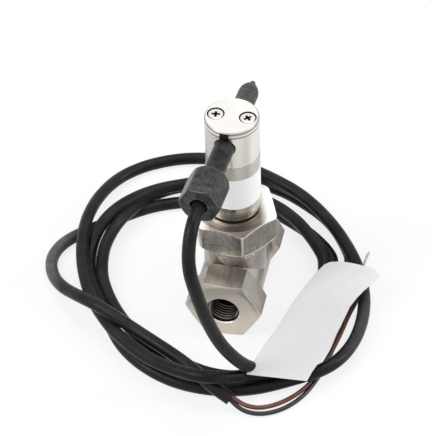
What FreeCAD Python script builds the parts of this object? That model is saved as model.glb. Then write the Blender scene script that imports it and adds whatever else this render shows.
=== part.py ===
import FreeCAD, Part
import math
import os
import Sketcher
from FreeCAD import Placement, Rotation, Vector

# Paddle flow switch on a hexagonal threaded tee, in millimetres. The tee rests on one flat of its
# hexagon at z = 0, the flow runs from -Y to +Y, and the sensor housing stands on the Z axis.

doc = FreeCAD.newDocument("PaddleFlowSwitch")
sheet = doc.addObject("Spreadsheet::Sheet", "Sizes")
nodes = []


class Size:
    """A length: its value now, and the expression that gives it from the sheet's cells."""

    def __init__(self, value, text):
        self.value = float(value)
        self.text = text

    def __add__(self, other):
        other = as_size(other)
        return Size(self.value + other.value, f"({self.text} + {other.text})")

    def __sub__(self, other):
        other = as_size(other)
        return Size(self.value - other.value, f"({self.text} - {other.text})")

    def __mul__(self, other):
        other = as_size(other)
        return Size(self.value * other.value, f"({self.text} * {other.text})")

    def __truediv__(self, other):
        other = as_size(other)
        return Size(self.value / other.value, f"({self.text} / {other.text})")

    def __neg__(self):
        return Size(-self.value, f"(-1 * {self.text})")


def as_size(number):
    return number if isinstance(number, Size) else Size(number, repr(float(number)))


def cell(alias, value):
    """One driving dimension: a row of the sheet with its alias."""
    cell.row += 1
    sheet.set(f"A{cell.row}", alias.replace("_", " "))
    sheet.set(f"B{cell.row}", str(value))
    sheet.setAlias(f"B{cell.row}", alias)
    return Size(value, f"Sizes.{alias}")


cell.row = 0

# Tee
run_flats = cell("run_flats", 27.0)
run_length = cell("run_length", 50.0)
end_face_diameter = cell("end_face_diameter", 25.8)
end_bevel = cell("end_bevel", 0.8)
hex_end_length = cell("hex_end_length", 11.0)
shoulder_slope = cell("shoulder_slope", 1.6)
waist_diameter = cell("waist_diameter", 26.0)
port_diameter = cell("port_diameter", 13.16)
port_depth = cell("port_depth", 10.0)
port_lead_in = cell("port_lead_in", 0.35)
flow_bore = cell("flow_bore", 11.0)
chamber_diameter = cell("chamber_diameter", 16.0)
chamber_depth = cell("chamber_depth", 8.0)
neck_diameter = cell("neck_diameter", 25.2)
neck_height = cell("neck_height", 21.9)
neck_bevel = cell("neck_bevel", 0.6)
# Bonnet
bonnet_flats = cell("bonnet_flats", 31.0)
bonnet_corners = cell("bonnet_corners", 35.0)
bonnet_height = cell("bonnet_height", 13.0)
bonnet_bevel = cell("bonnet_bevel", 1.3)
bonnet_face_diameter = cell("bonnet_face_diameter", 30.4)
bonnet_turn = cell("bonnet_turn", 22.6)
collar_diameter = cell("collar_diameter", 23.0)
collar_height = cell("collar_height", 0.8)
spigot_diameter = cell("spigot_diameter", 18.9)
spigot_length = cell("spigot_length", 6.8)
arm_bore = cell("arm_bore", 14.0)
fit_gap = cell("fit_gap", 0.05)
ring_section = cell("ring_section", 1.4)
ring_drop = cell("ring_drop", 3.0)
# Sensor housing
seal_height = cell("seal_height", 0.8)
seal_inset = cell("seal_inset", 0.25)
housing_diameter = cell("housing_diameter", 21.0)
housing_spigot_length = cell("housing_spigot_length", 5.5)
housing_spigot_diameter = cell("housing_spigot_diameter", 18.8)
wet_bore = cell("wet_bore", 16.4)
wet_height = cell("wet_height", 30.0)
partition = cell("partition", 2.5)
dry_height = cell("dry_height", 10.7)
dry_bore = cell("dry_bore", 18.6)
capsule_drop = cell("capsule_drop", 4.8)
capsule_turn = cell("capsule_turn", 4.5)
capsule_diameter = cell("capsule_diameter", 8.0)
capsule_gap = cell("capsule_gap", 0.3)
slot_width = cell("slot_width", 3.7)
label_rise = cell("label_rise", 6.4)
label_height = cell("label_height", 15.2)
label_thickness = cell("label_thickness", 0.15)
label_wrap = cell("label_wrap", 330.0)
skin_gap = cell("skin_gap", 0.02)
# Lid, its screws and the clamp
lid_thickness = cell("lid_thickness", 2.8)
lid_bevel = cell("lid_bevel", 0.6)
lid_groove_depth = cell("lid_groove_depth", 2.3)
screw_pitch = cell("screw_pitch", 12.4)
screw_diameter = cell("screw_diameter", 2.9)
screw_reach = cell("screw_reach", 9.0)
head_diameter = cell("head_diameter", 5.8)
head_height = cell("head_height", 1.8)
head_recess = cell("head_recess", 6.8)
head_recess_depth = cell("head_recess_depth", 2.0)
recess_span = cell("recess_span", 3.3)
recess_width = cell("recess_width", 0.8)
cross_depth = cell("cross_depth", 1.0)
pad_side_gap = cell("pad_side_gap", 0.1)
pad_length = cell("pad_length", 20.0)
reset_magnet_diameter = cell("reset_magnet_diameter", 4.0)
reset_magnet_height = cell("reset_magnet_height", 1.5)
reset_magnet_offset = cell("reset_magnet_offset", 5.0)
# Paddle on its pivot
yoke_height = cell("yoke_height", 5.0)
yoke_wall = cell("yoke_wall", 2.2)
pin_diameter = cell("pin_diameter", 2.0)
pin_gap = cell("pin_gap", 0.04)
bush_wall = cell("bush_wall", 0.5)
bush_flange_diameter = cell("bush_flange_diameter", 4.6)
bush_flange_thickness = cell("bush_flange_thickness", 0.6)
bush_length = cell("bush_length", 4.0)
hub_diameter = cell("hub_diameter", 5.6)
hub_length = cell("hub_length", 11.6)
rod_diameter = cell("rod_diameter", 2.8)
tang_width = cell("tang_width", 5.0)
tang_thickness = cell("tang_thickness", 1.6)
tang_top = cell("tang_top", 12.5)
tang_bottom = cell("tang_bottom", 1.5)
blade_width = cell("blade_width", 10.0)
blade_thickness = cell("blade_thickness", 0.8)
blade_rise = cell("blade_rise", 10.5)
blade_reach = cell("blade_reach", 5.5)
rivet_diameter = cell("rivet_diameter", 1.6)
rivet_head_diameter = cell("rivet_head_diameter", 2.8)
rivet_head_height = cell("rivet_head_height", 0.5)
rivet_first = cell("rivet_first", 3.5)
rivet_spacing = cell("rivet_spacing", 4.5)
magnet_diameter = cell("magnet_diameter", 4.0)
magnet_length = cell("magnet_length", 5.0)
cup_wall = cell("cup_wall", 0.6)
cup_floor = cell("cup_floor", 1.2)
cup_headroom = cell("cup_headroom", 1.4)
# Reed capsule, measured from the housing's axis along the capsule
sleeve_front = cell("sleeve_front", 33.0)
sleeve_back = cell("sleeve_back", 21.5)
sleeve_wall = cell("sleeve_wall", 0.8)
dome_length = cell("dome_length", 5.6)
dome_tip_diameter = cell("dome_tip_diameter", 2.6)
dome_plug = cell("dome_plug", 4.0)
nib_diameter = cell("nib_diameter", 1.8)
nib_length = cell("nib_length", 1.2)
nut_flats = cell("nut_flats", 14.5)
nut_corners = cell("nut_corners", 16.3)
nut_back = cell("nut_back", 27.0)
nut_front = cell("nut_front", 43.0)
nut_shoulder = cell("nut_shoulder", 4.6)
nut_back_diameter = cell("nut_back_diameter", 11.4)
nut_front_round = cell("nut_front_round", 1.3)
nut_mouth = cell("nut_mouth", 7.0)
nut_lip = cell("nut_lip", 4.0)
cable_diameter = cell("cable_diameter", 5.2)
grommet_gap = cell("grommet_gap", 0.3)
grommet_diameter = cell("grommet_diameter", 10.0)
glass_diameter = cell("glass_diameter", 2.2)
glass_length = cell("glass_length", 18.0)
glass_wall = cell("glass_wall", 0.3)
reed_width = cell("reed_width", 0.6)
reed_thickness = cell("reed_thickness", 0.2)
reed_overlap = cell("reed_overlap", 1.6)
reed_gap = cell("reed_gap", 0.1)
reed_lead = cell("reed_lead", 3.5)
board_width = cell("board_width", 4.6)
board_thickness = cell("board_thickness", 0.5)
board_front = cell("board_front", 26.0)
board_back = cell("board_back", 15.0)
inner_lead_diameter = cell("inner_lead_diameter", 1.0)
inner_lead_spread = cell("inner_lead_spread", 2.6)
potting_length = cell("potting_length", 4.0)
# Cable, its cores and its tag
core_diameter = cell("core_diameter", 1.8)
strand_diameter = cell("strand_diameter", 1.0)
coil_height = cell("coil_height", 10.8)
tag_thickness = cell("tag_thickness", 0.4)
tag_height = cell("tag_height", 11.1)

# Heights above the table, bottom to top
run_axis = run_flats / 2
neck_top = run_axis + neck_height
bonnet_top = neck_top + bonnet_height
collar_top = bonnet_top + collar_height
housing_foot = collar_top + seal_height
housing_height = wet_height + partition + dry_height
housing_top = housing_foot + housing_height
yoke_top = housing_foot - housing_spigot_length
yoke_foot = yoke_top - yoke_height
pivot_axis = yoke_foot + yoke_height / 2
dry_floor = housing_foot + wet_height + partition
capsule_axis = housing_top - capsule_drop
capsule_bore = capsule_diameter + capsule_gap * 2
groove_top = housing_top + lid_groove_depth
head_seat = housing_top + lid_thickness - head_recess_depth


def new_body(label):
    body = doc.addObject("PartDesign::Body", label)
    body.Label = label
    nodes.append(body)
    return body


def on_plane(body, name, role):
    """An empty sketch on one of the body's own origin planes."""
    sketch = body.newObject("Sketcher::SketchObject", name)
    plane = next(f for f in body.Origin.OriginFeatures if f.Role == role)
    sketch.AttachmentSupport = [(plane, "")]
    sketch.MapMode = "FlatFace"
    return sketch


def bind(sketch, index, name, size):
    sketch.renameConstraint(index, name)
    sketch.setExpression(f"Constraints.{name}", size.text)


def middle_of_arc(start, end, radius):
    """The middle of an arc from start to end: a positive radius bulges to the right of the way."""
    way = end - start
    chord = way.Length
    side = Vector(way.y, -way.x, 0) / chord
    height = abs(radius) - math.sqrt(radius * radius - chord * chord / 4)
    return (start + end) / 2 + side * math.copysign(height, radius)


def outline(body, name, role, corners):
    """A closed outline. Each corner is (across, up), or (across, up, radius) before an arc."""
    sketch = on_plane(body, name, role)
    corners = [[as_size(part) for part in corner] for corner in corners]
    places = [Vector(corner[0].value, corner[1].value, 0) for corner in corners]
    for index, corner in enumerate(corners):
        start = places[index]
        end = places[(index + 1) % len(places)]
        if len(corner) == 3:
            middle = middle_of_arc(start, end, corner[2].value)
            edge = Part.Arc(start, middle, end)
        else:
            edge = Part.LineSegment(start, end)
        sketch.addGeometry(edge, False)
    ends = [start_and_end(sketch.Geometry[i], places[i]) for i in range(len(places))]
    for index in range(len(places)):
        after = (index + 1) % len(places)
        sketch.addConstraint(
            Sketcher.Constraint("Coincident", index, ends[index][1], after, ends[after][0])
        )
    for index, corner in enumerate(corners):
        for kind, mark, size in (("DistanceX", "across", corner[0]), ("DistanceY", "up", corner[1])):
            made = sketch.addConstraint(
                Sketcher.Constraint(kind, index, ends[index][0], size.value)
            )
            bind(sketch, made, f"{mark}{index}", size)
        if len(corner) == 3:
            radius = Size(abs(corner[2].value), f"abs({corner[2].text})")
            made = sketch.addConstraint(Sketcher.Constraint("Radius", index, radius.value))
            bind(sketch, made, f"round{index}", radius)
    return sketch


def start_and_end(edge, start):
    """Which ends of a sketch edge are its first and last on the way round."""
    if (edge.StartPoint - start).Length < 1e-6:
        return 1, 2
    return 2, 1


def ring(body, name, role, centre, diameter):
    """A sketched circle."""
    across, up, diameter = (as_size(part) for part in (*centre, diameter))
    sketch = on_plane(body, name, role)
    place = Vector(across.value, up.value, 0)
    sketch.addGeometry(Part.Circle(place, Vector(0, 0, 1), diameter.value / 2), False)
    for kind, name, size in (("DistanceX", "across", across), ("DistanceY", "up", up)):
        bind(sketch, sketch.addConstraint(Sketcher.Constraint(kind, 0, 3, size.value)), name, size)
    made = sketch.addConstraint(Sketcher.Constraint("Diameter", 0, diameter.value))
    bind(sketch, made, "diameter", diameter)
    return sketch


def hexagon(body, name, role, flats):
    """A sketched hexagon with two flats across the sketch's vertical."""
    half = flats / 2
    corner = flats / math.sqrt(3)
    near = corner / 2
    return outline(
        body,
        name,
        role,
        [(corner, 0), (near, half), (-near, half), (-corner, 0), (-near, -half), (near, -half)],
    )


def padded(body, sketch, length):
    """A pad to both sides of its sketch, length long in all."""
    pad = body.newObject("PartDesign::Pad", sketch.Name + "_pad")
    pad.Profile = sketch
    pad.SideType = "Symmetric"
    pad.setExpression("Length", as_size(length).text)
    return pad


def pocketed(body, sketch):
    """A pocket through everything, to both sides of its sketch."""
    pocket = body.newObject("PartDesign::Pocket", sketch.Name + "_pocket")
    pocket.Profile = sketch
    pocket.SideType = "Symmetric"
    pocket.Type = "ThroughAll"
    return pocket


def turned(body, sketch, axis="V_Axis", angle=None):
    """Material turned about one of the sketch's axes."""
    turn = body.newObject("PartDesign::Revolution", sketch.Name + "_turned")
    turn.Profile = sketch
    turn.ReferenceAxis = (sketch, [axis])
    if angle is None:
        turn.Angle = 360
    else:
        turn.setExpression("Angle", angle.text)
    return turn


def grooved(body, sketch, axis="V_Axis"):
    """Material turned away about one of the sketch's axes."""
    groove = body.newObject("PartDesign::Groove", sketch.Name + "_groove")
    groove.Profile = sketch
    groove.ReferenceAxis = (sketch, [axis])
    groove.Angle = 360
    return groove


def band(inner, outer, low, high):
    """The outline of a plain ring's section: two radii and two heights."""
    return [(inner, low), (outer, low), (outer, high), (inner, high)]


def place(part, across=0, along=0, up=0, spin=0, lean=0):
    """Turn a part by lean about X, then by spin about Z, and move it."""
    across, along, up, spin, lean = (as_size(v).text for v in (across, along, up, spin, lean))
    part.setExpression(
        "Placement",
        f"placement(vector({across}; {along}; {up}); "
        f"rotation(vector(0; 0; 1); {spin}) * rotation(vector(1; 0; 0); {lean}))",
    )
    return part


def along_capsule(part, across=0, front=0, up=0):
    """Lay a part made about +Z along the capsule: its +Z points to the capsule's cable end."""
    turn = capsule_turn.text
    spin = f"rotation(vector(0; 0; 1); -1 * {turn})"
    across, front, up = (as_size(v).text for v in (across, front, up))
    axis = capsule_axis.text
    part.setExpression(
        "Placement",
        f"placement(vector(0; 0; {axis}); {spin})"
        f" * placement(vector({across}; -1 * {front}; {up}); rotation(vector(1; 0; 0); 90))",
    )
    return part


def cylinder(name, diameter, height):
    """A plain Part cylinder about Z."""
    part = doc.addObject("Part::Cylinder", name)
    part.setExpression("Radius", (as_size(diameter) / 2).text)
    part.setExpression("Height", as_size(height).text)
    return part


def brick(name, width, depth, height):
    part = doc.addObject("Part::Box", name)
    part.setExpression("Length", as_size(width).text)
    part.setExpression("Width", as_size(depth).text)
    part.setExpression("Height", as_size(height).text)
    return part


def fused(name, *parts):
    fuse = doc.addObject("Part::MultiFuse", name)
    fuse.Shapes = list(parts)
    return fuse


def cut(name, base, tool):
    result = doc.addObject("Part::Cut", name)
    result.Base = base
    result.Tool = tool
    return result


def group(label, *parts):
    """A node of several separate solids."""
    compound = doc.addObject("Part::Compound", label)
    compound.Links = list(parts)
    compound.Label = label
    nodes.append(compound)
    return compound


def tee_body():
    """Hexagon bar with a turned waist, a threaded port at each end and a bored neck on top."""
    body = new_body("tee_body")
    half = run_length / 2
    corner = run_flats / math.sqrt(3) + 1
    waist = waist_diameter / 2
    waist_end = half - hex_end_length - shoulder_slope
    padded(body, hexagon(body, "run_hexagon", "XZ_Plane", run_flats), run_length)
    waist_section = [
        (-waist_end, waist),
        (waist_end, waist),
        (waist_end + shoulder_slope, corner),
        (-waist_end - shoulder_slope, corner),
    ]
    grooved(body, outline(body, "waist", "YZ_Plane", waist_section), "H_Axis")
    for name, side in (("inlet_bevel", -1), ("outlet_bevel", 1)):
        face = half * side
        reach = end_bevel * (corner - end_face_diameter / 2) / (corner - 1 - end_face_diameter / 2)
        bevel = [(face, end_face_diameter / 2), (face, corner), (face - reach * side, corner)]
        grooved(body, outline(body, name, "YZ_Plane", bevel), "H_Axis")
    neck = [
        (0, 0),
        (neck_diameter / 2, 0),
        (neck_diameter / 2, neck_height - neck_bevel),
        (neck_diameter / 2 - neck_bevel, neck_height),
        (0, neck_height),
    ]
    turned(body, outline(body, "neck", "XZ_Plane", neck))
    socket = spigot_diameter / 2 + fit_gap
    socket_floor = neck_height - spigot_length - fit_gap
    chamber = [
        (0, -chamber_depth),
        (chamber_diameter / 2, -chamber_depth),
        (chamber_diameter / 2, socket_floor),
        (socket, socket_floor),
        (socket, neck_height + 1),
        (0, neck_height + 1),
    ]
    grooved(body, outline(body, "chamber", "XZ_Plane", chamber))
    port = port_diameter / 2
    thread_end = half - port_depth
    bore = [
        (-half - 1, 0),
        (-half - 1, port + port_lead_in + 1),
        (-half + port_lead_in, port),
        (-thread_end, port),
        (-thread_end, flow_bore / 2),
        (thread_end, flow_bore / 2),
        (thread_end, port),
        (half - port_lead_in, port),
        (half + 1, port + port_lead_in + 1),
        (half + 1, 0),
    ]
    grooved(body, outline(body, "flow_way", "YZ_Plane", bore), "H_Axis")
    return place(body, up=run_axis)


def hex_bonnet():
    """Large hexagon that closes the neck: spigot below, seat for the housing above."""
    body = new_body("hex_bonnet")
    corner = bonnet_flats / math.sqrt(3) + 1
    middle = bonnet_height / 2
    padded(body, hexagon(body, "bonnet_hexagon", "XY_Plane", bonnet_flats), bonnet_height)
    turned_corner = bonnet_corners / 2
    face = bonnet_face_diameter / 2
    rim = [
        (turned_corner, -middle + bonnet_bevel),
        (turned_corner, middle - bonnet_bevel),
        (face, middle),
        (face, middle + 1),
        (corner, middle + 1),
        (corner, -middle - 1),
        (face, -middle - 1),
        (face, -middle),
    ]
    grooved(body, outline(body, "rim", "XZ_Plane", rim))
    collar_section = band(0, collar_diameter / 2, middle - 1, middle + collar_height)
    turned(body, outline(body, "collar", "XZ_Plane", collar_section))
    spigot_section = band(0, spigot_diameter / 2, -middle - spigot_length, -middle + 1)
    turned(body, outline(body, "spigot", "XZ_Plane", spigot_section))
    lift = neck_top + middle
    seat = housing_spigot_diameter / 2 + fit_gap
    bore = [
        (0, -middle - spigot_length - 1),
        (arm_bore / 2, -middle - spigot_length - 1),
        (arm_bore / 2, yoke_foot - lift),
        (seat, yoke_foot - lift),
        (seat, middle + collar_height + 1),
        (0, middle + collar_height + 1),
    ]
    grooved(body, outline(body, "bonnet_bore", "XZ_Plane", bore))
    ring_top = -middle - ring_drop + (ring_section / 2 + fit_gap)
    ring_bottom = -middle - ring_drop - (ring_section / 2 + fit_gap)
    ring_floor = spigot_diameter / 2 - ring_section - fit_gap
    gland = band(ring_floor, spigot_diameter / 2 + 1, ring_bottom, ring_top)
    grooved(body, outline(body, "ring_gland", "XZ_Plane", gland))
    return place(body, up=lift, spin=bonnet_turn - 30)


def neck_o_ring():
    """Seal of the bonnet's spigot in the neck."""
    seal = doc.addObject("Part::Torus", "neck_o_ring")
    seal.Label = "neck_o_ring"
    seal.setExpression("Radius1", (spigot_diameter / 2 - ring_section / 2).text)
    seal.setExpression("Radius2", (ring_section / 2).text)
    nodes.append(seal)
    return place(seal, up=neck_top - ring_drop)


def housing_seal():
    """Black ring between the bonnet's collar and the housing."""
    body = new_body("housing_seal")
    inner = housing_spigot_diameter / 2 + fit_gap
    outer = housing_diameter / 2 - seal_inset
    turned(body, outline(body, "seal_section", "XZ_Plane", band(inner, outer, 0, seal_height)))
    return place(body, up=collar_top)


def sensor_housing():
    """Round housing: wet bore for the magnet below, dry chamber for the capsule above."""
    body = new_body("sensor_housing")
    outer = housing_diameter / 2
    spigot = housing_spigot_diameter / 2
    section = [
        (wet_bore / 2, -housing_spigot_length),
        (spigot, -housing_spigot_length),
        (spigot, 0),
        (outer, 0),
        (outer, housing_height),
        (dry_bore / 2, housing_height),
        (dry_bore / 2, wet_height + partition),
        (0, wet_height + partition),
        (0, wet_height),
        (wet_bore / 2, wet_height),
    ]
    turned(body, outline(body, "housing_section", "XZ_Plane", section))
    way = housing_height - capsule_drop
    pocketed(body, ring(body, "capsule_way", "XZ_Plane", (0, way), capsule_bore))
    slot = slot_width / 2
    notch = [(-slot, way), (slot, way), (slot, housing_height + 1), (-slot, housing_height + 1)]
    pocketed(body, outline(body, "pad_notch", "XZ_Plane", notch))
    return place(body, up=housing_foot, spin=-capsule_turn)


def name_label():
    """Bare wrap-round label on the lower part of the housing."""
    body = new_body("name_label")
    inner = housing_diameter / 2 + skin_gap
    section = band(inner, inner + label_thickness, 0, label_height)
    turned(body, outline(body, "label_section", "XZ_Plane", section), angle=label_wrap)
    return place(body, up=housing_foot + label_rise, spin=as_size(90) - label_wrap / 2 + 180)


def clamp_block():
    """Block in the dry chamber, with a saddle for the capsule and threads for the lid screws."""
    body = new_body("clamp_block")
    height = housing_top - dry_floor
    outer = dry_bore / 2 - fit_gap
    turned(body, outline(body, "block_section", "XZ_Plane", band(0, outer, 0, height)))
    way = height - capsule_drop
    pocketed(body, ring(body, "saddle", "XZ_Plane", (0, way), capsule_bore))
    side = capsule_bore / 2
    channel = [(-side, way), (side, way), (side, height + 1), (-side, height + 1)]
    pocketed(body, outline(body, "channel", "XZ_Plane", channel))
    place(body, up=dry_floor, spin=-capsule_turn)
    holes = []
    depth = screw_reach + fit_gap * 4
    for side, mark in ((-1, "left"), (1, "right")):
        hole = cylinder(f"{mark}_thread", screw_diameter + fit_gap * 2, depth)
        holes.append(place(hole, across=screw_pitch / 2 * side, up=head_seat - depth))
    pocket = cylinder("magnet_pocket", reset_magnet_diameter + fit_gap * 2, reset_magnet_height * 2)
    place(pocket, along=reset_magnet_offset, up=dry_floor - reset_magnet_height)
    nodes.remove(body)
    body.Label = "clamp_block_blank"
    block = cut("clamp_block_cut", body, fused("block_holes", *holes, pocket))
    block.Label = "clamp_block"
    nodes.append(block)
    return block


def reset_magnet():
    """Fixed magnet that draws the paddle back to rest."""
    magnet = cylinder("reset_magnet", reset_magnet_diameter, reset_magnet_height - fit_gap)
    magnet.Label = "reset_magnet"
    nodes.append(magnet)
    return place(magnet, along=reset_magnet_offset, up=dry_floor)


def clamp_pad():
    """Rubber strip in the lid's groove, above the capsule."""
    width = slot_width - pad_side_gap * 2
    low = capsule_axis + capsule_diameter / 2 + capsule_gap
    body = new_body("clamp_pad")
    side = width / 2
    section = [(-side, low), (side, low), (side, groove_top), (-side, groove_top)]
    padded(body, outline(body, "pad_section", "XZ_Plane", section), pad_length)
    return place(body, spin=-capsule_turn)


def clamp_lid():
    """Round lid with two recessed screw seats above and the pad's groove below."""
    outer = housing_diameter / 2
    disc = new_body("clamp_lid_blank")
    section = [
        (0, 0),
        (outer, 0),
        (outer, lid_thickness - lid_bevel),
        (outer - lid_bevel, lid_thickness),
        (0, lid_thickness),
    ]
    turned(disc, outline(disc, "lid_section", "XZ_Plane", section))
    slot = slot_width / 2
    groove = [(-slot, -1), (slot, -1), (slot, lid_groove_depth), (-slot, lid_groove_depth)]
    pocketed(disc, outline(disc, "lid_groove", "XZ_Plane", groove))
    place(disc, up=housing_top, spin=-capsule_turn)
    nodes.remove(disc)
    holes = []
    for side, mark in ((-1, "left"), (1, "right")):
        across = screw_pitch / 2 * side
        hole = cylinder(f"{mark}_lid_hole", screw_diameter + fit_gap * 4, lid_thickness + 2)
        recess = cylinder(f"{mark}_recess", head_recess, head_recess_depth + 1)
        holes.append(place(hole, across=across, up=housing_top - 1))
        holes.append(place(recess, across=across, up=head_seat))
    lid = cut("clamp_lid_cut", disc, fused("lid_holes", *holes))
    lid.Label = "clamp_lid"
    nodes.append(lid)
    return lid


def lid_screws():
    """Two cross-recessed machine screws."""
    screws = []
    for side, mark in ((-1, "left"), (1, "right")):
        across = screw_pitch / 2 * side
        shank = place(
            cylinder(f"{mark}_shank", screw_diameter, screw_reach),
            across=across,
            up=head_seat - screw_reach,
        )
        head = place(cylinder(f"{mark}_head", head_diameter, head_height), across=across, up=head_seat)
        blank = fused(f"{mark}_blank", shank, head)
        floor = head_seat + head_height - cross_depth
        bars = []
        for bar, (width, depth) in enumerate(((recess_span, recess_width), (recess_width, recess_span))):
            slot = brick(f"{mark}_bar{bar}", width, depth, cross_depth + 1)
            bars.append(place(slot, across=across - width / 2, along=-depth / 2, up=floor))
        screws.append(cut(f"{mark}_screw", blank, fused(f"{mark}_cross", *bars)))
    return group("lid_screws", *screws)


def pivot_yoke():
    """Ring held under the housing's spigot, drilled across for the pivot pin."""
    body = new_body("pivot_yoke")
    outer = housing_spigot_diameter / 2
    half = yoke_height / 2
    turned(body, outline(body, "yoke_section", "XZ_Plane", band(outer - yoke_wall, outer, -half, half)))
    pocketed(body, ring(body, "pin_hole", "YZ_Plane", (0, 0), pin_diameter + skin_gap * 2))
    return place(body, up=pivot_axis)


def pivot_pin():
    body = new_body("pivot_pin")
    length = housing_spigot_diameter - fit_gap * 4
    padded(body, ring(body, "pin_section", "YZ_Plane", (0, 0), pin_diameter), length)
    return place(body, up=pivot_axis)


def paddle_arm():
    """Arm with a cross hub on the pivot, a rod up to the magnet and a flat tang for the blade."""
    body = new_body("paddle_arm")
    padded(body, ring(body, "hub", "YZ_Plane", (0, 0), hub_diameter), hub_length)
    rod = rod_diameter / 2
    low = run_axis + tang_top - pivot_axis - 1
    high = housing_foot + wet_height - cup_headroom - magnet_length - cup_floor - pivot_axis
    turned(body, outline(body, "rod", "XZ_Plane", band(0, rod, low, high)))
    side = tang_width / 2
    foot = run_axis + tang_bottom - pivot_axis
    tang = [(-side, foot), (side, foot), (side, low + 1), (-side, low + 1)]
    padded(body, outline(body, "tang", "XZ_Plane", tang), tang_thickness)
    pocketed(body, ring(body, "bush_hole", "YZ_Plane", (0, 0), bush_outer() + skin_gap * 2))
    for mark, height in rivet_heights():
        across = (0, height - pivot_axis)
        pocketed(body, ring(body, f"{mark}_arm_hole", "XZ_Plane", across, rivet_diameter + skin_gap * 2))
    return place(body, up=pivot_axis)


def bush_outer():
    return pin_diameter + pin_gap * 2 + bush_wall * 2


def rivet_heights():
    first = run_axis + rivet_first
    return (("lower", first), ("upper", first + rivet_spacing))


def pivot_bushes():
    """A flanged bush in each end of the hub."""
    inner = pin_diameter / 2 + pin_gap
    flange_at = hub_length / 2
    bushes = []
    for side, mark in ((-1, "left"), (1, "right")):
        body = new_body(f"{mark}_bush")
        nodes.remove(body)
        section = [
            ((flange_at - bush_length) * side, inner),
            ((flange_at + bush_flange_thickness) * side, inner),
            ((flange_at + bush_flange_thickness) * side, bush_flange_diameter / 2),
            (flange_at * side, bush_flange_diameter / 2),
            (flange_at * side, bush_outer() / 2),
            ((flange_at - bush_length) * side, bush_outer() / 2),
        ]
        turned(body, outline(body, f"{mark}_bush_section", "XZ_Plane", section), "H_Axis")
        bushes.append(place(body, up=pivot_axis))
    return group("pivot_bushes", *bushes)


def paddle_blade():
    """Thin blade with a round end, hanging in the flow."""
    body = new_body("paddle_blade")
    side = blade_width / 2
    centre = side - blade_reach
    padded(body, ring(body, "round_end", "XZ_Plane", (0, centre), blade_width), blade_thickness)
    strip = [(-side, centre), (side, centre), (side, blade_rise), (-side, blade_rise)]
    padded(body, outline(body, "strip", "XZ_Plane", strip), blade_thickness)
    for mark, height in rivet_heights():
        across = (0, height - run_axis)
        pocketed(body, ring(body, f"{mark}_blade_hole", "XZ_Plane", across, rivet_diameter + skin_gap * 2))
    return place(body, along=tang_thickness / 2 + blade_thickness / 2, up=run_axis)


def paddle_rivets():
    """Two rivets through the tang and the blade."""
    rivets = []
    grip = tang_thickness + blade_thickness
    for mark, height in rivet_heights():
        shank = cylinder(f"{mark}_rivet_shank", rivet_diameter, grip)
        near = cylinder(f"{mark}_rivet_near", rivet_head_diameter, rivet_head_height)
        far = cylinder(f"{mark}_rivet_far", rivet_head_diameter, rivet_head_height)
        start = tang_thickness / 2 + blade_thickness
        place(shank, along=start, up=height, lean=90)
        place(near, along=-tang_thickness / 2, up=height, lean=90)
        place(far, along=start + rivet_head_height, up=height, lean=90)
        rivets.append(fused(f"{mark}_rivet", shank, near, far))
    return group("paddle_rivets", *rivets)


def magnet_cup():
    """Cup on top of the arm that holds the magnet."""
    body = new_body("magnet_cup")
    inner = magnet_diameter / 2 + skin_gap
    section = [
        (0, 0),
        (inner + cup_wall, 0),
        (inner + cup_wall, cup_floor + magnet_length),
        (inner, cup_floor + magnet_length),
        (inner, cup_floor),
        (0, cup_floor),
    ]
    turned(body, outline(body, "cup_section", "XZ_Plane", section))
    return place(body, up=cup_height())


def cup_height():
    return housing_foot + wet_height - cup_headroom - magnet_length - cup_floor


def arm_magnet():
    magnet = cylinder("arm_magnet", magnet_diameter, magnet_length)
    magnet.Label = "arm_magnet"
    nodes.append(magnet)
    return place(magnet, up=cup_height() + cup_floor)


def capsule_sleeve():
    """Plastic tube of the reed capsule."""
    body = new_body("capsule_sleeve")
    outer = capsule_diameter / 2
    section = band(outer - sleeve_wall, outer, -sleeve_back, sleeve_front)
    turned(body, outline(body, "sleeve_section", "XZ_Plane", section))
    return along_capsule(body)


def capsule_end_cap():
    """Domed plug with a moulding nib, in the capsule's far end."""
    body = new_body("capsule_end_cap")
    outer = capsule_diameter / 2
    plug = outer - sleeve_wall - fit_gap
    tip = dome_tip_diameter / 2
    nib = nib_diameter / 2
    dome_end = -sleeve_back - dome_length
    section = [
        (0, -sleeve_back + dome_plug),
        (0, dome_end - nib_length),
        (nib, dome_end - nib_length),
        (nib, dome_end),
        (tip, dome_end, dome_length * 1.4),
        (outer, -sleeve_back),
        (plug, -sleeve_back),
        (plug, -sleeve_back + dome_plug),
    ]
    turned(body, outline(body, "cap_section", "XZ_Plane", section))
    return along_capsule(body)


def gland_nut():
    """Hexagonal gland nut: domed shoulder towards the housing, wide mouth round the cable."""
    body = new_body("gland_nut")
    length = nut_front - nut_back
    middle = length / 2
    padded(body, hexagon(body, "nut_hexagon", "XY_Plane", nut_flats), length)
    corner = nut_corners / 2
    outside = nut_flats / math.sqrt(3) + 1
    back = nut_back_diameter / 2
    front_face = corner - nut_front_round
    rim = [
        (corner, -middle + nut_shoulder),
        (corner, middle - nut_front_round, nut_front_round * 1.05),
        (front_face, middle),
        (front_face, middle + 1),
        (outside, middle + 1),
        (outside, -middle - 1),
        (back, -middle - 1),
        (back, -middle, nut_shoulder * 1.2),
    ]
    grooved(body, outline(body, "nut_rim", "XZ_Plane", rim))
    sleeve = capsule_diameter / 2 + fit_gap
    cavity = grommet_diameter / 2 + fit_gap
    sleeve_end = sleeve_front - nut_back - middle
    mouth_start = middle - nut_lip
    inside = [
        (0, -middle - 1),
        (sleeve, -middle - 1),
        (sleeve, sleeve_end),
        (cavity, sleeve_end),
        (cavity, mouth_start),
        (nut_mouth / 2, mouth_start),
        (nut_mouth / 2, middle + 1),
        (0, middle + 1),
    ]
    grooved(body, outline(body, "nut_bore", "XZ_Plane", inside))
    return along_capsule(body, front=nut_back + middle)


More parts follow.
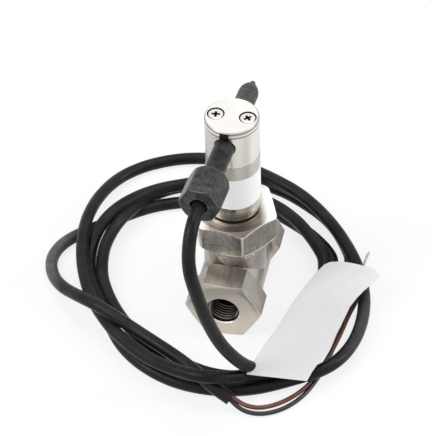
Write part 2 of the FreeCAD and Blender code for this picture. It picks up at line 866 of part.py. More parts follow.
def gland_grommet():
    """Rubber ring in the nut that grips the cable."""
    body = new_body("gland_grommet")
    inner = cable_diameter / 2 + grommet_gap
    section = band(inner, grommet_diameter / 2, sleeve_front, nut_front - nut_lip)
    turned(body, outline(body, "grommet_section", "XZ_Plane", section))
    return along_capsule(body)


def potting_plug():
    """Resin plug that closes the sleeve round the two inner leads."""
    body = new_body("potting_plug")
    outer = capsule_diameter / 2 - sleeve_wall - fit_gap
    start = sleeve_front - potting_length
    turned(body, outline(body, "potting_section", "XZ_Plane", band(0, outer, start, sleeve_front)))
    for side, mark in ((-1, "left"), (1, "right")):
        centre = (inner_lead_spread / 2 * side, 0)
        pocketed(body, ring(body, f"{mark}_lead_hole", "XY_Plane", centre, inner_lead_diameter + skin_gap * 2))
    return along_capsule(body)


def reed_glass():
    """Glass envelope of the reed switch, drawn in round the leads at both ends."""
    body = new_body("reed_glass")
    outer = glass_diameter / 2
    inner = outer - glass_wall
    lead = reed_width / 2 + reed_thickness
    half = glass_length / 2
    neck = half - glass_diameter
    section = [
        (lead, -half),
        (lead + glass_wall, -half),
        (outer, -neck),
        (outer, neck),
        (lead + glass_wall, half),
        (lead, half),
        (inner, neck),
        (inner, -neck),
    ]
    turned(body, outline(body, "glass_section", "XZ_Plane", section))
    return along_capsule(body)


def reed_blades():
    """Two flat reeds that overlap in the glass with a small gap."""
    reeds = []
    length = glass_length / 2 + reed_lead + reed_overlap / 2
    for side, mark in ((-1, "back"), (1, "front")):
        reed = brick(f"{mark}_reed", reed_width, reed_thickness, length)
        start = -reed_overlap / 2 if side > 0 else reed_overlap / 2 - length
        lift = reed_gap / 2 if side > 0 else -reed_gap / 2 - reed_thickness
        reeds.append(along_capsule(reed, across=-reed_width / 2, front=start, up=lift))
    return group("reed_blades", *reeds)


def reed_board():
    """Small carrier board under the glass."""
    board = brick("reed_board", board_width, board_thickness, board_front + board_back)
    board.Label = "reed_board"
    nodes.append(board)
    top = -glass_diameter / 2 - fit_gap
    return along_capsule(board, across=-board_width / 2, front=-board_back, up=top - board_thickness)


def inner_leads():
    """Two insulated leads from the board to the sleeve's end."""
    leads = []
    start = glass_length / 2 + reed_lead
    for side, mark in ((-1, "left"), (1, "right")):
        lead = cylinder(f"{mark}_inner_lead", inner_lead_diameter, sleeve_front - start)
        leads.append(along_capsule(lead, across=inner_lead_spread / 2 * side, front=start))
    return group("inner_leads", *leads)


def swept_tube(label, diameter, route):
    """A cord along straight runs joined by tangent arcs, each as large as its two runs allow."""
    points = [Vector(*point) for point in route]
    edges = []
    start = points[0]
    for before, corner, after in zip(points, points[1:], points[2:]):
        into = corner - before
        out = after - corner
        turn = into.getAngle(out)
        reach = 0.45 * min(into.Length, out.Length)
        radius = reach / math.tan(turn / 2)
        into.normalize()
        out.normalize()
        first = corner - into * reach
        last = corner + out * reach
        inward = out - into
        inward.normalize()
        middle = corner + inward * (radius / math.cos(turn / 2) - radius)
        edges.append(Part.LineSegment(start, first).toShape())
        edges.append(Part.Arc(first, middle, last).toShape())
        start = last
        print(f"{label}: bend radius {radius:.1f}")
    edges.append(Part.LineSegment(start, points[-1]).toShape())
    path = Part.Wire(edges)
    section = Part.Wire(Part.Circle(points[0], points[1] - points[0], diameter / 2).toShape())
    tube = path.makePipeShell([section], True, True)
    expected = math.pi * diameter * diameter / 4 * path.Length
    print(f"{label}: length {path.Length:.1f}, volume {tube.Volume:.1f} of {expected:.1f}")
    if abs(tube.Volume / expected - 1) > 0.02:
        raise RuntimeError(f"{label}: the tube's volume is off")
    part = doc.addObject("Part::Feature", label)
    part.Label = label
    part.Shape = tube
    nodes.append(part)
    return part


# The routes of the cords, chosen by hand.
CABLE_DROP = [
    (-2.87, -36.49, 88.4),
    (-3.80, -48.35, 88.4),
    (-4.00, -57.00, 83.4),
    (-3.40, -61.50, 74.6),
    (-1.00, -61.80, 62.5),
    (2.40, -61.20, 48.0),
    (6.60, -59.50, 34.0),
    (11.20, -55.80, 22.4),
    (15.00, -51.80, 13.8),
    (19.50, -46.90, 7.0),
]
CABLE_TAIL = [(-1.6, -54.4, 7.9), (4.4, -58.6, 7.0), (9.9, -61.9, 4.8)]
BROWN_CORE = [
    (9.9, -61.3, 5.4),
    (14.0, -62.0, 2.6),
    (18.5, -61.3, 1.2),
    (23.0, -60.3, 1.0),
    (28.0, -56.9, 1.0),
    (33.0, -52.3, 1.0),
    (36.6, -47.4, 1.0),
    (39.0, -41.8, 1.8),
    (41.3, -34.6, 2.9),
    (43.5, -26.4, 3.0),
    (45.4, -18.2, 2.9),
    (47.4, -10.0, 3.0),
    (49.6, -1.5, 2.9),
    (50.8, 8.0, 2.8),
    (49.2, 18.0, 2.6),
]
BLACK_CORE = [
    (9.6, -62.6, 4.2),
    (13.5, -64.4, 1.8),
    (18.0, -64.3, 0.95),
    (23.0, -64.5, 0.95),
    (28.0, -62.0, 0.95),
    (33.0, -57.2, 0.95),
    (37.0, -51.3, 0.95),
    (40.0, -45.4, 0.95),
    (42.2, -39.0, 0.95),
    (43.2, -31.5, 0.95),
    (43.6, -24.0, 0.95),
    (44.8, -16.5, 0.95),
    (46.4, -9.0, 0.95),
    (48.4, -1.0, 0.95),
    (49.2, 8.0, 0.95),
]
TINNED_TIP = [(49.2, 18.2, 2.6), (49.5, 22.2, 2.1), (49.2, 26.4, 1.4), (48.4, 30.6, 0.9)]
# Edges of the coil and of the tag seen from above, chosen by hand.
COIL_OUTSIDE = [
    (56.3, -2.0),
    (50.0, 21.0),
    (38.5, 40.0),
    (23.0, 55.0),
    (4.0, 67.5),
    (-15.0, 76.0),
    (-33.0, 76.5),
    (-50.0, 66.0),
    (-64.0, 53.0),
    (-73.0, 34.0),
    (-77.5, 15.0),
    (-79.5, -1.0),
    (-74.0, -14.0),
    (-62.0, -25.0),
    (-48.0, -38.5),
    (-28.0, -52.0),
    (-7.0, -59.6),
    (6.0, -59.4),
    (21.0, -54.8),
    (36.0, -46.6),
    (47.5, -37.0),
    (54.5, -24.0),
]
COIL_INSIDE = [
    (33.0, 8.0),
    (33.5, -8.0),
    (29.0, -24.0),
    (20.0, -36.0),
    (8.0, -43.5),
    (-6.0, -43.5),
    (-20.0, -38.0),
    (-34.0, -31.0),
    (-45.0, -21.0),
    (-52.0, -9.0),
    (-55.5, 5.0),
    (-55.0, 19.0),
    (-48.0, 30.0),
    (-34.0, 39.0),
    (-15.0, 43.5),
    (0.0, 43.0),
    (13.0, 37.5),
    (25.0, 26.0),
]
TAG_EDGE = [
    (21.0, -53.4),
    (38.9, -52.6),
    (42.4, -39.9),
    (48.0, -17.3),
    (53.5, 0.4),
    (57.8, 9.7),
    (55.8, 11.6),
    (38.6, 13.5),
    (33.7, 10.8),
    (28.3, -9.0),
    (21.6, -40.0),
]


def smooth_loop(points):
    """A closed smooth curve through hand-chosen points on the table."""
    curve = Part.BSplineCurve()
    curve.interpolate([Vector(across, along, 0) for across, along in points], PeriodicFlag=True)
    return Part.Wire(curve.toShape())


def cable_coil():
    """Outer shape of the loose turns of cable round the tee, lying on the table."""
    rim = Part.Face(smooth_loop(COIL_OUTSIDE)).cut(Part.Face(smooth_loop(COIL_INSIDE)))
    block = rim.extrude(Vector(0, 0, coil_height.value))
    coil = block.makeChamfer(cable_diameter.value * 0.42, crests(block))
    part = doc.addObject("Part::Feature", "cable_coil")
    part.Label = "cable_coil"
    part.Shape = coil.Solids[0]
    nodes.append(part)
    return part


def crests(block):
    """The edges of a flat block that lie in its top or bottom face."""
    low = block.BoundBox.ZMin
    high = block.BoundBox.ZMax
    flat = [edge for edge in block.Edges if edge.BoundBox.ZLength < 1e-6]
    return [e for e in flat if abs(e.BoundBox.ZMin - low) < 1e-6 or abs(e.BoundBox.ZMin - high) < 1e-6]


def core_tip():
    """Tinned strands that stand out of a core."""
    return swept_tube("core_tip", strand_diameter.value, TINNED_TIP)


def cable_tag():
    """Bare paper flag lying over the coil."""
    body = new_body("cable_tag")
    padded(body, outline(body, "tag_outline", "XY_Plane", TAG_EDGE), tag_thickness)
    return place(body, up=tag_height + tag_thickness / 2)


def build():
    for make in (
        tee_body,
        hex_bonnet,
        neck_o_ring,
        housing_seal,
        sensor_housing,
        name_label,
        clamp_block,
        reset_magnet,
        clamp_pad,
        clamp_lid,
        lid_screws,
        pivot_yoke,
        pivot_pin,
        paddle_arm,
        pivot_bushes,
        paddle_blade,
        paddle_rivets,
        magnet_cup,
        arm_magnet,
        capsule_sleeve,
        capsule_end_cap,
        gland_nut,
        gland_grommet,
        potting_plug,
        reed_glass,
        reed_blades,
        reed_board,
        inner_leads,
        cable_coil,
        core_tip,
        cable_tag,
    ):
        make()
        doc.recompute()
    swept_tube("cable_drop", cable_diameter.value, CABLE_DROP)
    swept_tube("cable_tail", cable_diameter.value, CABLE_TAIL)
    swept_tube("brown_core", core_diameter.value, BROWN_CORE)
    swept_tube("black_core", core_diameter.value, BLACK_CORE)
    doc.recompute()


def check():
    """Stop on a failed feature, an empty or broken shape, or a cut that removed nothing."""
    for part in doc.Objects:
        if "Invalid" in part.State or "Error" in part.State:
            raise RuntimeError(f"{part.Label}: {part.State}")
        if part.TypeId in ("PartDesign::Pocket", "PartDesign::Groove"):
            if part.Shape.Volume > part.BaseFeature.Shape.Volume - 1e-4:
                raise RuntimeError(f"{part.Label}: it cuts nothing")
    for node in nodes:
        if node.Shape.isNull() or not node.Shape.isValid() or not node.Shape.Solids:
            raise RuntimeError(f"{node.Label}: its shape is null or not valid")


def export():
    os.makedirs("parts", exist_ok=True)
    for node in nodes:
        node.Shape.exportStep(f"parts/{node.Label}.step")
        box = node.Shape.BoundBox
        print(
            f"{node.Label:18s} solids {len(node.Shape.Solids)} volume {node.Shape.Volume:9.1f}"
            f"  x {box.XMin:7.2f}..{box.XMax:7.2f}  y {box.YMin:7.2f}..{box.YMax:7.2f}"
            f"  z {box.ZMin:7.2f}..{box.ZMax:7.2f}"
        )


build()
check()
export()
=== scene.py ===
"""A small paddle flow switch with its coil of cable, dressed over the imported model."""

import math

import bmesh
import bpy
from mathutils import Matrix, Vector


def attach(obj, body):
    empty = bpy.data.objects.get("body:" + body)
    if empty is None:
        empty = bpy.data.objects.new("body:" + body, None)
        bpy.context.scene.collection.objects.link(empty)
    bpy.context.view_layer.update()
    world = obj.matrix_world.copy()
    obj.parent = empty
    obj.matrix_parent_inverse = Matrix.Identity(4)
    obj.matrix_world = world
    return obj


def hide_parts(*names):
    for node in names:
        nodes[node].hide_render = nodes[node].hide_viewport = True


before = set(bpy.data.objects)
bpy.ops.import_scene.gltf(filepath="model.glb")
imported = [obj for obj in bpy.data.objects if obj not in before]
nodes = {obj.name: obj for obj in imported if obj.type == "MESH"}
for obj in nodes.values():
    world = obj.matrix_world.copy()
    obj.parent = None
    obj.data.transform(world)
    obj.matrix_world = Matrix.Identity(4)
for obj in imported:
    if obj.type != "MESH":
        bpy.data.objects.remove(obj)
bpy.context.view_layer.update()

MM = 0.001
RUN_HEIGHT = 0.0135  # of the tee's flow axis over the table
CAPSULE_HEIGHT = 88.4 * MM
CAPSULE_TURN = math.radians(4.5)  # of the capsule's line away from the flow axis

# Routes of the cable and its two cores, in metres, from the gland to the bare ends
CABLE = [
    # from the gland down to the coil
    (-0.0029, -0.0365, 0.0884), (-0.0038, -0.0484, 0.0884), (-0.004, -0.057, 0.0834),
    (-0.0034, -0.0615, 0.0746), (-0.001, -0.0618, 0.0625), (0.0024, -0.0612, 0.048),
    (0.0066, -0.0595, 0.034), (0.0112, -0.0558, 0.0224), (0.015, -0.0518, 0.0138),
    (0.0195, -0.0469, 0.007),
    # first pass beneath the tag
    (0.026, -0.04, 0.003), (0.0325, -0.03, 0.0026), (0.0348, -0.017, 0.0026),
    (0.0352, -0.003, 0.0027),
    # first turn: right side, far side, left side and front
    (0.0344, 0.016, 0.0066), (0.0298, 0.0229, 0.0076), (0.0243, 0.0299, 0.0079),
    (0.0174, 0.037, 0.0079), (0.0084, 0.0437, 0.0074),
    (-0.0022, 0.049, 0.006), (-0.0142, 0.0535, 0.0034), (-0.0253, 0.0541, 0.0026),
    (-0.034, 0.053, 0.0026),
    (-0.0407, 0.0495, 0.0026), (-0.0467, 0.0433, 0.0032), (-0.0506, 0.0331, 0.0066),
    (-0.0544, 0.0236, 0.008), (-0.057, 0.0162, 0.0064), (-0.0579, 0.0079, 0.0056),
    (-0.0569, -0.0002, 0.005), (-0.0548, -0.0079, 0.0044), (-0.0516, -0.014, 0.0036),
    (-0.0476, -0.0199, 0.0028), (-0.0421, -0.0267, 0.0026), (-0.0355, -0.0332, 0.0026),
    (-0.0279, -0.0388, 0.0026), (-0.0189, -0.0435, 0.0026), (-0.01, -0.0466, 0.0026),
    (-0.0023, -0.0488, 0.0026), (0.0055, -0.0493, 0.0026), (0.0129, -0.0481, 0.0026),
    (0.022, -0.048, 0.0026), (0.031, -0.0413, 0.0026), (0.038, -0.031, 0.0026),
    (0.0414, -0.019, 0.0026), (0.0434, -0.006, 0.0026),
    # second turn, outside the first on the right
    (0.0449, 0.0214, 0.0026), (0.0397, 0.0316, 0.0026), (0.034, 0.0401, 0.0026),
    (0.0272, 0.0467, 0.0026), (0.0181, 0.0527, 0.0026), (0.0106, 0.0569, 0.0026),
    (0.003, 0.0595, 0.0026),
    (-0.006, 0.0605, 0.0036), (-0.0159, 0.0576, 0.0064), (-0.0249, 0.0526, 0.0079),
    (-0.0336, 0.0484, 0.0079), (-0.0419, 0.0443, 0.0082), (-0.0498, 0.0376, 0.009),
    (-0.0555, 0.0292, 0.0104), (-0.0599, 0.0223, 0.0094), (-0.0623, 0.0164, 0.0076),
    (-0.0636, 0.011, 0.005), (-0.0633, 0.0045, 0.0032), (-0.0615, -0.0028, 0.0026),
    (-0.0582, -0.0103, 0.0026), (-0.0534, -0.018, 0.0026),
    (-0.0486, -0.0261, 0.0026), (-0.0438, -0.034, 0.0026), (-0.0376, -0.0421, 0.0026),
    (-0.0295, -0.0486, 0.0026), (-0.0202, -0.0534, 0.0026), (-0.0106, -0.0562, 0.0026),
    (0, -0.0569, 0.0026), (0.0101, -0.0557, 0.0026), (0.0195, -0.053, 0.0029),
    (0.0279, -0.0492, 0.0036), (0.0359, -0.0451, 0.0046),
    # third turn, the outermost on the right
    (0.0431, -0.041, 0.0052), (0.0489, -0.0343, 0.0052), (0.0527, -0.0249, 0.005),
    (0.0542, -0.0148, 0.005), (0.054, -0.0052, 0.0054), (0.0524, 0.0034, 0.006),
    (0.0493, 0.0117, 0.0069), (0.0455, 0.0195, 0.0076), (0.0403, 0.0276, 0.0079),
    (0.0337, 0.0365, 0.0079), (0.0255, 0.0452, 0.0079), (0.0166, 0.0525, 0.0079),
    (0.0069, 0.0578, 0.0079), (-0.0031, 0.0637, 0.0062),
    (-0.0131, 0.0691, 0.0042), (-0.024, 0.0721, 0.0028),
    (-0.0358, 0.0707, 0.0026), (-0.0462, 0.0667, 0.0026), (-0.0559, 0.0606, 0.0026),
    (-0.0637, 0.0509, 0.0034), (-0.0678, 0.0374, 0.0056), (-0.0688, 0.0241, 0.0078),
    (-0.0682, 0.0129, 0.0081), (-0.0663, 0.0035, 0.0078), (-0.0639, -0.0047, 0.007),
    (-0.0603, -0.0132, 0.007), (-0.0565, -0.0204, 0.0069),
    # over the tail, then beneath the tag again
    (-0.0516, -0.0276, 0.0072), (-0.0459, -0.0346, 0.0082), (-0.0409, -0.0397, 0.0082),
    (-0.0335, -0.0452, 0.0082), (-0.0264, -0.0499, 0.0084), (-0.019, -0.0536, 0.0094),
    (-0.0109, -0.0572, 0.0114), (-0.0025, -0.0601, 0.0134), (0.0041, -0.0598, 0.0136),
    (0.0101, -0.0565, 0.0114), (0.0161, -0.0514, 0.0082),
    (0.0255, -0.0475, 0.0078), (0.0328, -0.038, 0.0075), (0.0366, -0.026, 0.0073),
    (0.0386, -0.013, 0.0072), (0.0398, -0.001, 0.0062),
    # last turn: beneath the first on the right and beneath all three at the back left
    (0.0371, 0.0199, 0.0032), (0.033, 0.0267, 0.0026), (0.0273, 0.0322, 0.0026),
    (0.0209, 0.037, 0.0026), (0.0146, 0.0406, 0.0026), (0.0083, 0.044, 0.0026),
    (-0.0004, 0.0463, 0.0026), (-0.0102, 0.0469, 0.0026), (-0.0201, 0.0463, 0.0026),
    (-0.0289, 0.0443, 0.0026),
    (-0.037, 0.0416, 0.0026), (-0.045, 0.0379, 0.0026), (-0.0528, 0.0322, 0.0026),
    (-0.0603, 0.0255, 0.0026), (-0.0668, 0.02, 0.0026),
    # loop that stands out on the left
    (-0.0731, 0.0142, 0.0026), (-0.0771, 0.0083, 0.0026), (-0.0789, 0.0014, 0.0026),
    (-0.0776, -0.0054, 0.0026), (-0.0742, -0.0113, 0.0028), (-0.0693, -0.0167, 0.0046),
    (-0.0631, -0.0222, 0.008), (-0.0563, -0.0276, 0.0116),
    # across the front to the stripped end
    (-0.0499, -0.0311, 0.0128), (-0.0425, -0.0343, 0.0118), (-0.0345, -0.0372, 0.0096),
    (-0.0257, -0.0412, 0.0084), (-0.0174, -0.0454, 0.008), (-0.0104, -0.0496, 0.008),
    (-0.0046, -0.0537, 0.008), (0.0005, -0.0578, 0.0082), (0.0058, -0.0608, 0.0074),
    (0.011, -0.0622, 0.0052),
]
# from the stripped end, along the table and beneath the tag
BROWN_WIRE = [
    (0.0099, -0.0603, 0.0056), (0.0146, -0.0618, 0.0028), (0.0205, -0.0617, 0.0013),
    (0.026, -0.0596, 0.001), (0.0322, -0.0549, 0.001), (0.0375, -0.0482, 0.001),
    (0.0409, -0.0407, 0.001), (0.0432, -0.0327, 0.0012), (0.0452, -0.0256, 0.0022),
    (0.0468, -0.0169, 0.0024), (0.048, -0.0082, 0.0026), (0.0498, -0.0004, 0.0028),
    (0.0508, 0.0085, 0.0027), (0.0492, 0.0182, 0.0024),
]
# beside the brown one
BLACK_WIRE = [
    (0.0097, -0.0607, 0.0042), (0.014, -0.0634, 0.0018), (0.0199, -0.0644, 0.00095),
    (0.0259, -0.0632, 0.00095), (0.0322, -0.0591, 0.00095), (0.0375, -0.0523, 0.00095),
    (0.0407, -0.0447, 0.00095), (0.0429, -0.0367, 0.00095), (0.0443, -0.029, 0.00095),
    (0.0452, -0.0216, 0.00095), (0.0464, -0.0131, 0.00095), (0.0475, -0.005, 0.00095),
    (0.0492, 0.008, 0.00095),
]
# bared wires beyond the end of the brown one
TINNED_END = [
    (0.0492, 0.0178, 0.0024), (0.0494, 0.0222, 0.0022), (0.0497, 0.026, 0.0018),
    (0.0501, 0.0298, 0.0013),
]
# long edges of the tag, from its foot on the front of the coil to its raised far corner
TAG_LEFT = [
    (0.0158, -0.0545, 0.0122), (0.0181, -0.0465, 0.0138), (0.0199, -0.0381, 0.013),
    (0.0221, -0.0294, 0.0117), (0.0241, -0.0211, 0.0114), (0.026, -0.0132, 0.0113),
    (0.0299, -0.0012, 0.0113), (0.0327, 0.0055, 0.0115), (0.0347, 0.0094, 0.0118),
    (0.0369, 0.0111, 0.0121), (0.0409, 0.0118, 0.0126), (0.0451, 0.0113, 0.0132),
    (0.0504, 0.0101, 0.0138), (0.0547, 0.0092, 0.0142),
]
TAG_RIGHT = [
    (0.0392, -0.0523, 0.011), (0.0404, -0.0473, 0.0112), (0.0427, -0.0405, 0.0114),
    (0.0448, -0.0333, 0.0115), (0.0467, -0.0247, 0.0115), (0.048, -0.0171, 0.0115),
    (0.049, -0.0113, 0.0117), (0.051, -0.0063, 0.0121), (0.0533, -0.0021, 0.0126),
    (0.0551, 0.0006, 0.013), (0.0562, 0.0022, 0.0134), (0.0572, 0.0035, 0.0138),
    (0.058, 0.0048, 0.0141), (0.0583, 0.0062, 0.0143),
]
CABLE_DIAMETER = 5.2 * MM
CORE_DIAMETER = 1.8 * MM


# Finishes
class Finish:
    """One finish: a surface shader, with short ways to lay patterns on it."""

    def __init__(self, name, colour, roughness, metallic=0.0, **more):
        self.material = bpy.data.materials.new(name)
        self.material.use_nodes = True
        self.tree = self.material.node_tree
        self.surface = self.tree.nodes["Principled BSDF"]
        self.height = None
        self.surface.inputs["Base Color"].default_value = (*colour, 1)
        self.surface.inputs["Roughness"].default_value = roughness
        self.surface.inputs["Metallic"].default_value = metallic
        for socket, value in more.items():
            self.surface.inputs[socket.replace("_", " ")].default_value = value

    def add(self, kind, inputs=(), **settings):
        node = self.tree.nodes.new("ShaderNode" + kind)
        for setting, value in settings.items():
            setattr(node, setting, value)
        for socket, value in dict(inputs).items():
            if isinstance(value, bpy.types.NodeSocket):
                self.tree.links.new(value, node.inputs[socket])
            else:
                node.inputs[socket].default_value = value
        return node

    def place(self, stretch=(1, 1, 1), turn=(0, 0, 0), centre=(0, 0, 0)):
        """Object coordinates, moved to a centre, turned and stretched."""
        where = self.add("TexCoord").outputs["Object"]
        return self.add(
            "Mapping",
            {"Vector": where, "Location": centre, "Rotation": turn, "Scale": stretch},
        ).outputs["Vector"]

    def noise(self, size, detail=3, at=None, rough=0.5):
        """Soft noise whose blobs are about size metres across."""
        return self.add(
            "TexNoise",
            {"Vector": at or self.place(), "Scale": 1 / size, "Detail": detail, "Roughness": rough},
        ).outputs["Fac"]

    def span(self, value, low, high, start=0.0, end=1.0):
        """Maps low..high onto start..end and holds it there."""
        return self.add(
            "MapRange",
            {"Value": value, "From Min": low, "From Max": high, "To Min": start, "To Max": end},
        ).outputs["Result"]

    def sum(self, operation, a, b=0.0):
        return self.add("Math", {0: a, 1: b}, operation=operation).outputs["Value"]

    def tint(self, mask, first, second):
        """Goes from one colour to the other by a mask."""
        mix = self.add("Mix", {"Factor": mask}, data_type="RGBA")
        for socket, colour in ((6, first), (7, second)):
            if isinstance(colour, bpy.types.NodeSocket):
                self.tree.links.new(colour, mix.inputs[socket])
            else:
                mix.inputs[socket].default_value = (*colour, 1)
        return mix.outputs[2]

    def paint(self, colour):
        self.tree.links.new(colour, self.surface.inputs["Base Color"])
        return self

    def gloss(self, value):
        self.tree.links.new(value, self.surface.inputs["Roughness"])
        return self

    def soft_edges(self, radius):
        """Catches light along the sharp edges as if they were rounded."""
        self.height = self.add("Bevel", {"Radius": radius}, samples=6).outputs["Normal"]
        self.tree.links.new(self.height, self.surface.inputs["Normal"])
        return self

    def relief(self, value, depth, strength=0.5):
        """Bumps of about depth metres, laid over the earlier ones."""
        bump = self.add("Bump", {"Height": value, "Distance": depth, "Strength": strength})
        if self.height:
            self.tree.links.new(self.height, bump.inputs["Normal"])
        self.height = bump.outputs["Normal"]
        self.tree.links.new(self.height, self.surface.inputs["Normal"])
        return self


def banded(finish, axis, size, depth, strength=0.3):
    """Fine tool marks that run round one axis: their height changes along it only."""
    stretch = [0.02 / size] * 3
    stretch["XYZ".index(axis)] = 1 / size
    marks = finish.add("TexNoise", {"Vector": finish.place(stretch), "Scale": 1, "Detail": 2})
    finish.relief(marks.outputs["Fac"], depth, strength)
    return marks.outputs["Fac"]


def facing(finish, axis):
    """1 where the surface faces along the axis, either way, and 0 where it stands beside it."""
    normal = finish.add("NewGeometry").outputs["Normal"]
    part = finish.add("SeparateXYZ", {"Vector": normal}).outputs[axis]
    return finish.sum("ABSOLUTE", part)


def height(finish, axis="Z"):
    """Distance along one axis from the middle of the part's footprint, or from the table."""
    return finish.add("SeparateXYZ", {"Vector": finish.place()}).outputs[axis]


def reach(finish, axis, centre=(0, 0, 0)):
    """Distance from an axis that runs through a centre."""
    away = finish.place(centre=tuple(-c for c in centre))
    where = finish.add("SeparateXYZ", {"Vector": away})
    squares = [finish.sum("POWER", where.outputs[a], 2) for a in "XYZ" if a != axis]
    return finish.sum("SQRT", finish.sum("ADD", *squares))


def near(finish, value, middle, half_width):
    """1 at the middle, falling to 0 a half width away on both sides."""
    gap = finish.sum("ABSOLUTE", finish.sum("SUBTRACT", value, middle))
    return finish.span(gap, half_width, half_width * 0.35)


def toward(finish, across, along):
    """How far a place lies from the upright axis toward one side."""
    part_across = finish.sum("MULTIPLY", height(finish, "X"), across)
    part_along = finish.sum("MULTIPLY", height(finish, "Y"), along)
    return finish.sum("ADD", part_across, part_along)


def edge_wear_and_glint(finish, width):
    """1 along the sharp edges, falling to 0 a width away from them."""
    rounded = finish.add("Bevel", {"Radius": width}, samples=8).outputs["Normal"]
    flat = finish.add("NewGeometry").outputs["True Normal"]
    same = finish.add("VectorMath", {0: rounded, 1: flat}, operation="DOT_PRODUCT").outputs["Value"]
    return finish.span(same, 0.985, 0.9)


def lathe_rings(finish, radius, mask, pitch=0.00042, strength=0.35):
    """Rings left by the lathe, where the mask is 1."""
    rings = finish.sum("SINE", finish.sum("MULTIPLY", radius, 2 * math.pi / pitch))
    finish.relief(finish.sum("MULTIPLY", rings, mask), 0.00002, strength)


def long_grain(finish, axis):
    """Draw lines that run along one axis."""
    stretch = {"X": (90, 2600, 2600), "Y": (2600, 90, 2600), "Z": (2600, 2600, 90)}[axis]
    return finish.add("TexNoise", {"Vector": finish.place(stretch), "Scale": 1, "Detail": 4}).outputs["Fac"]


def bar_steel():
    """Drawn hexagon bar of the tee: dull flats, faced ends and cut bores painted dark as shade, with painted
    highlights on the right flat and along the edges.
    """
    f = Finish("drawn bar steel", (0.3, 0.27, 0.25), 0.34, 1.0)
    grain = long_grain(f, "Y")
    blotch = f.noise(0.007, 4)
    flats = f.tint(f.span(blotch, 0.35, 0.65), (0.25, 0.22, 0.195), (0.42, 0.384, 0.35))
    flats = f.tint(f.span(grain, 0.4, 1.0), flats, (0.5, 0.465, 0.425))
    # painted highlight: the flats painted lighter toward the right side, where light falls
    flats = f.tint(f.span(height(f, "X"), 0.0075, 0.009, 0.0, 0.35), flats, (0.6, 0.565, 0.53))
    # edges painted lighter, partly wear and partly a painted highlight
    flats = f.tint(f.sum("MULTIPLY", edge_wear_and_glint(f, 0.0004), 0.6), flats, (0.75, 0.71, 0.66))
    along = f.sum("ABSOLUTE", height(f, "Y"))
    radius = reach(f, "Y", (0, 0, RUN_HEIGHT))
    faced = f.tint(f.span(blotch, 0.3, 0.7), (0.54, 0.485, 0.41), (0.63, 0.58, 0.5))
    # the end face and its bevel lie beyond this cone
    beyond = f.sum("MULTIPLY", f.sum("MAXIMUM", f.sum("SUBTRACT", radius, 0.0129), 0.0), 0.297)
    beyond = f.sum("ADD", along, beyond)
    on_end = f.span(beyond, 0.0249, 0.02495)
    colour = f.tint(on_end, flats, faced)
    # the bevels at the ends and round the bore mouths are painted bright, partly bare machined metal and
    # partly a painted highlight
    line = near(f, beyond, 0.0248, 0.00022)
    colour = f.tint(f.sum("MULTIPLY", line, 0.45), colour, (0.8, 0.76, 0.7))
    mouth = f.sum("MULTIPLY", near(f, radius, 0.0068, 0.0003), f.span(along, 0.0245, 0.0247))
    colour = f.tint(mouth, colour, (0.9, 0.87, 0.82))
    # painted shade: the inside of each bore is painted near black
    bored = f.sum("MULTIPLY", f.span(radius, 0.00664, 0.0066), f.span(along, 0.02475, 0.02465))
    # a few bright flecks of sealing compound at the foot of the neck
    fleck = f.span(f.noise(0.0009, 2), 0.54, 0.6)
    neck = f.sum("MULTIPLY", f.span(reach(f, "Z"), 0.01275, 0.0127), near(f, height(f), 0.0309, 0.0008))
    colour = f.tint(f.sum("MULTIPLY", fleck, neck), colour, (0.85, 0.83, 0.8))
    f.paint(f.tint(bored, colour, (0.03, 0.025, 0.02)))
    f.gloss(f.span(grain, 0.3, 0.7, 0.3, 0.46))
    lathe_rings(f, radius, on_end)
    f.relief(grain, 0.00003, 0.35)
    f.relief(f.noise(0.0012, 3), 0.00002, 0.25)
    return f


def thread_steel():
    """Cut thread: flanks painted dark as shade, crests painted bright as a highlight and painted darker
    deeper in the bore as shade.
    """
    f = Finish("cut thread", (0.2, 0.18, 0.15), 0.3, 1.0)
    radius = reach(f, "Y", (0, 0, RUN_HEIGHT))
    # painted shade: the crests fade to the dark flank colour deeper in the bore
    deep = f.span(f.sum("ABSOLUTE", height(f, "Y")), 0.0245, 0.0195, 1.0, 0.25)
    crest = f.sum("MULTIPLY", f.span(radius, 0.0061, 0.00577), deep)
    f.paint(f.tint(crest, (0.022, 0.018, 0.014), (0.5, 0.46, 0.4)))
    f.gloss(f.span(f.noise(0.001, 3), 0.3, 0.7, 0.25, 0.4))
    f.relief(f.noise(0.0004, 2), 0.00002, 0.3)
    return f


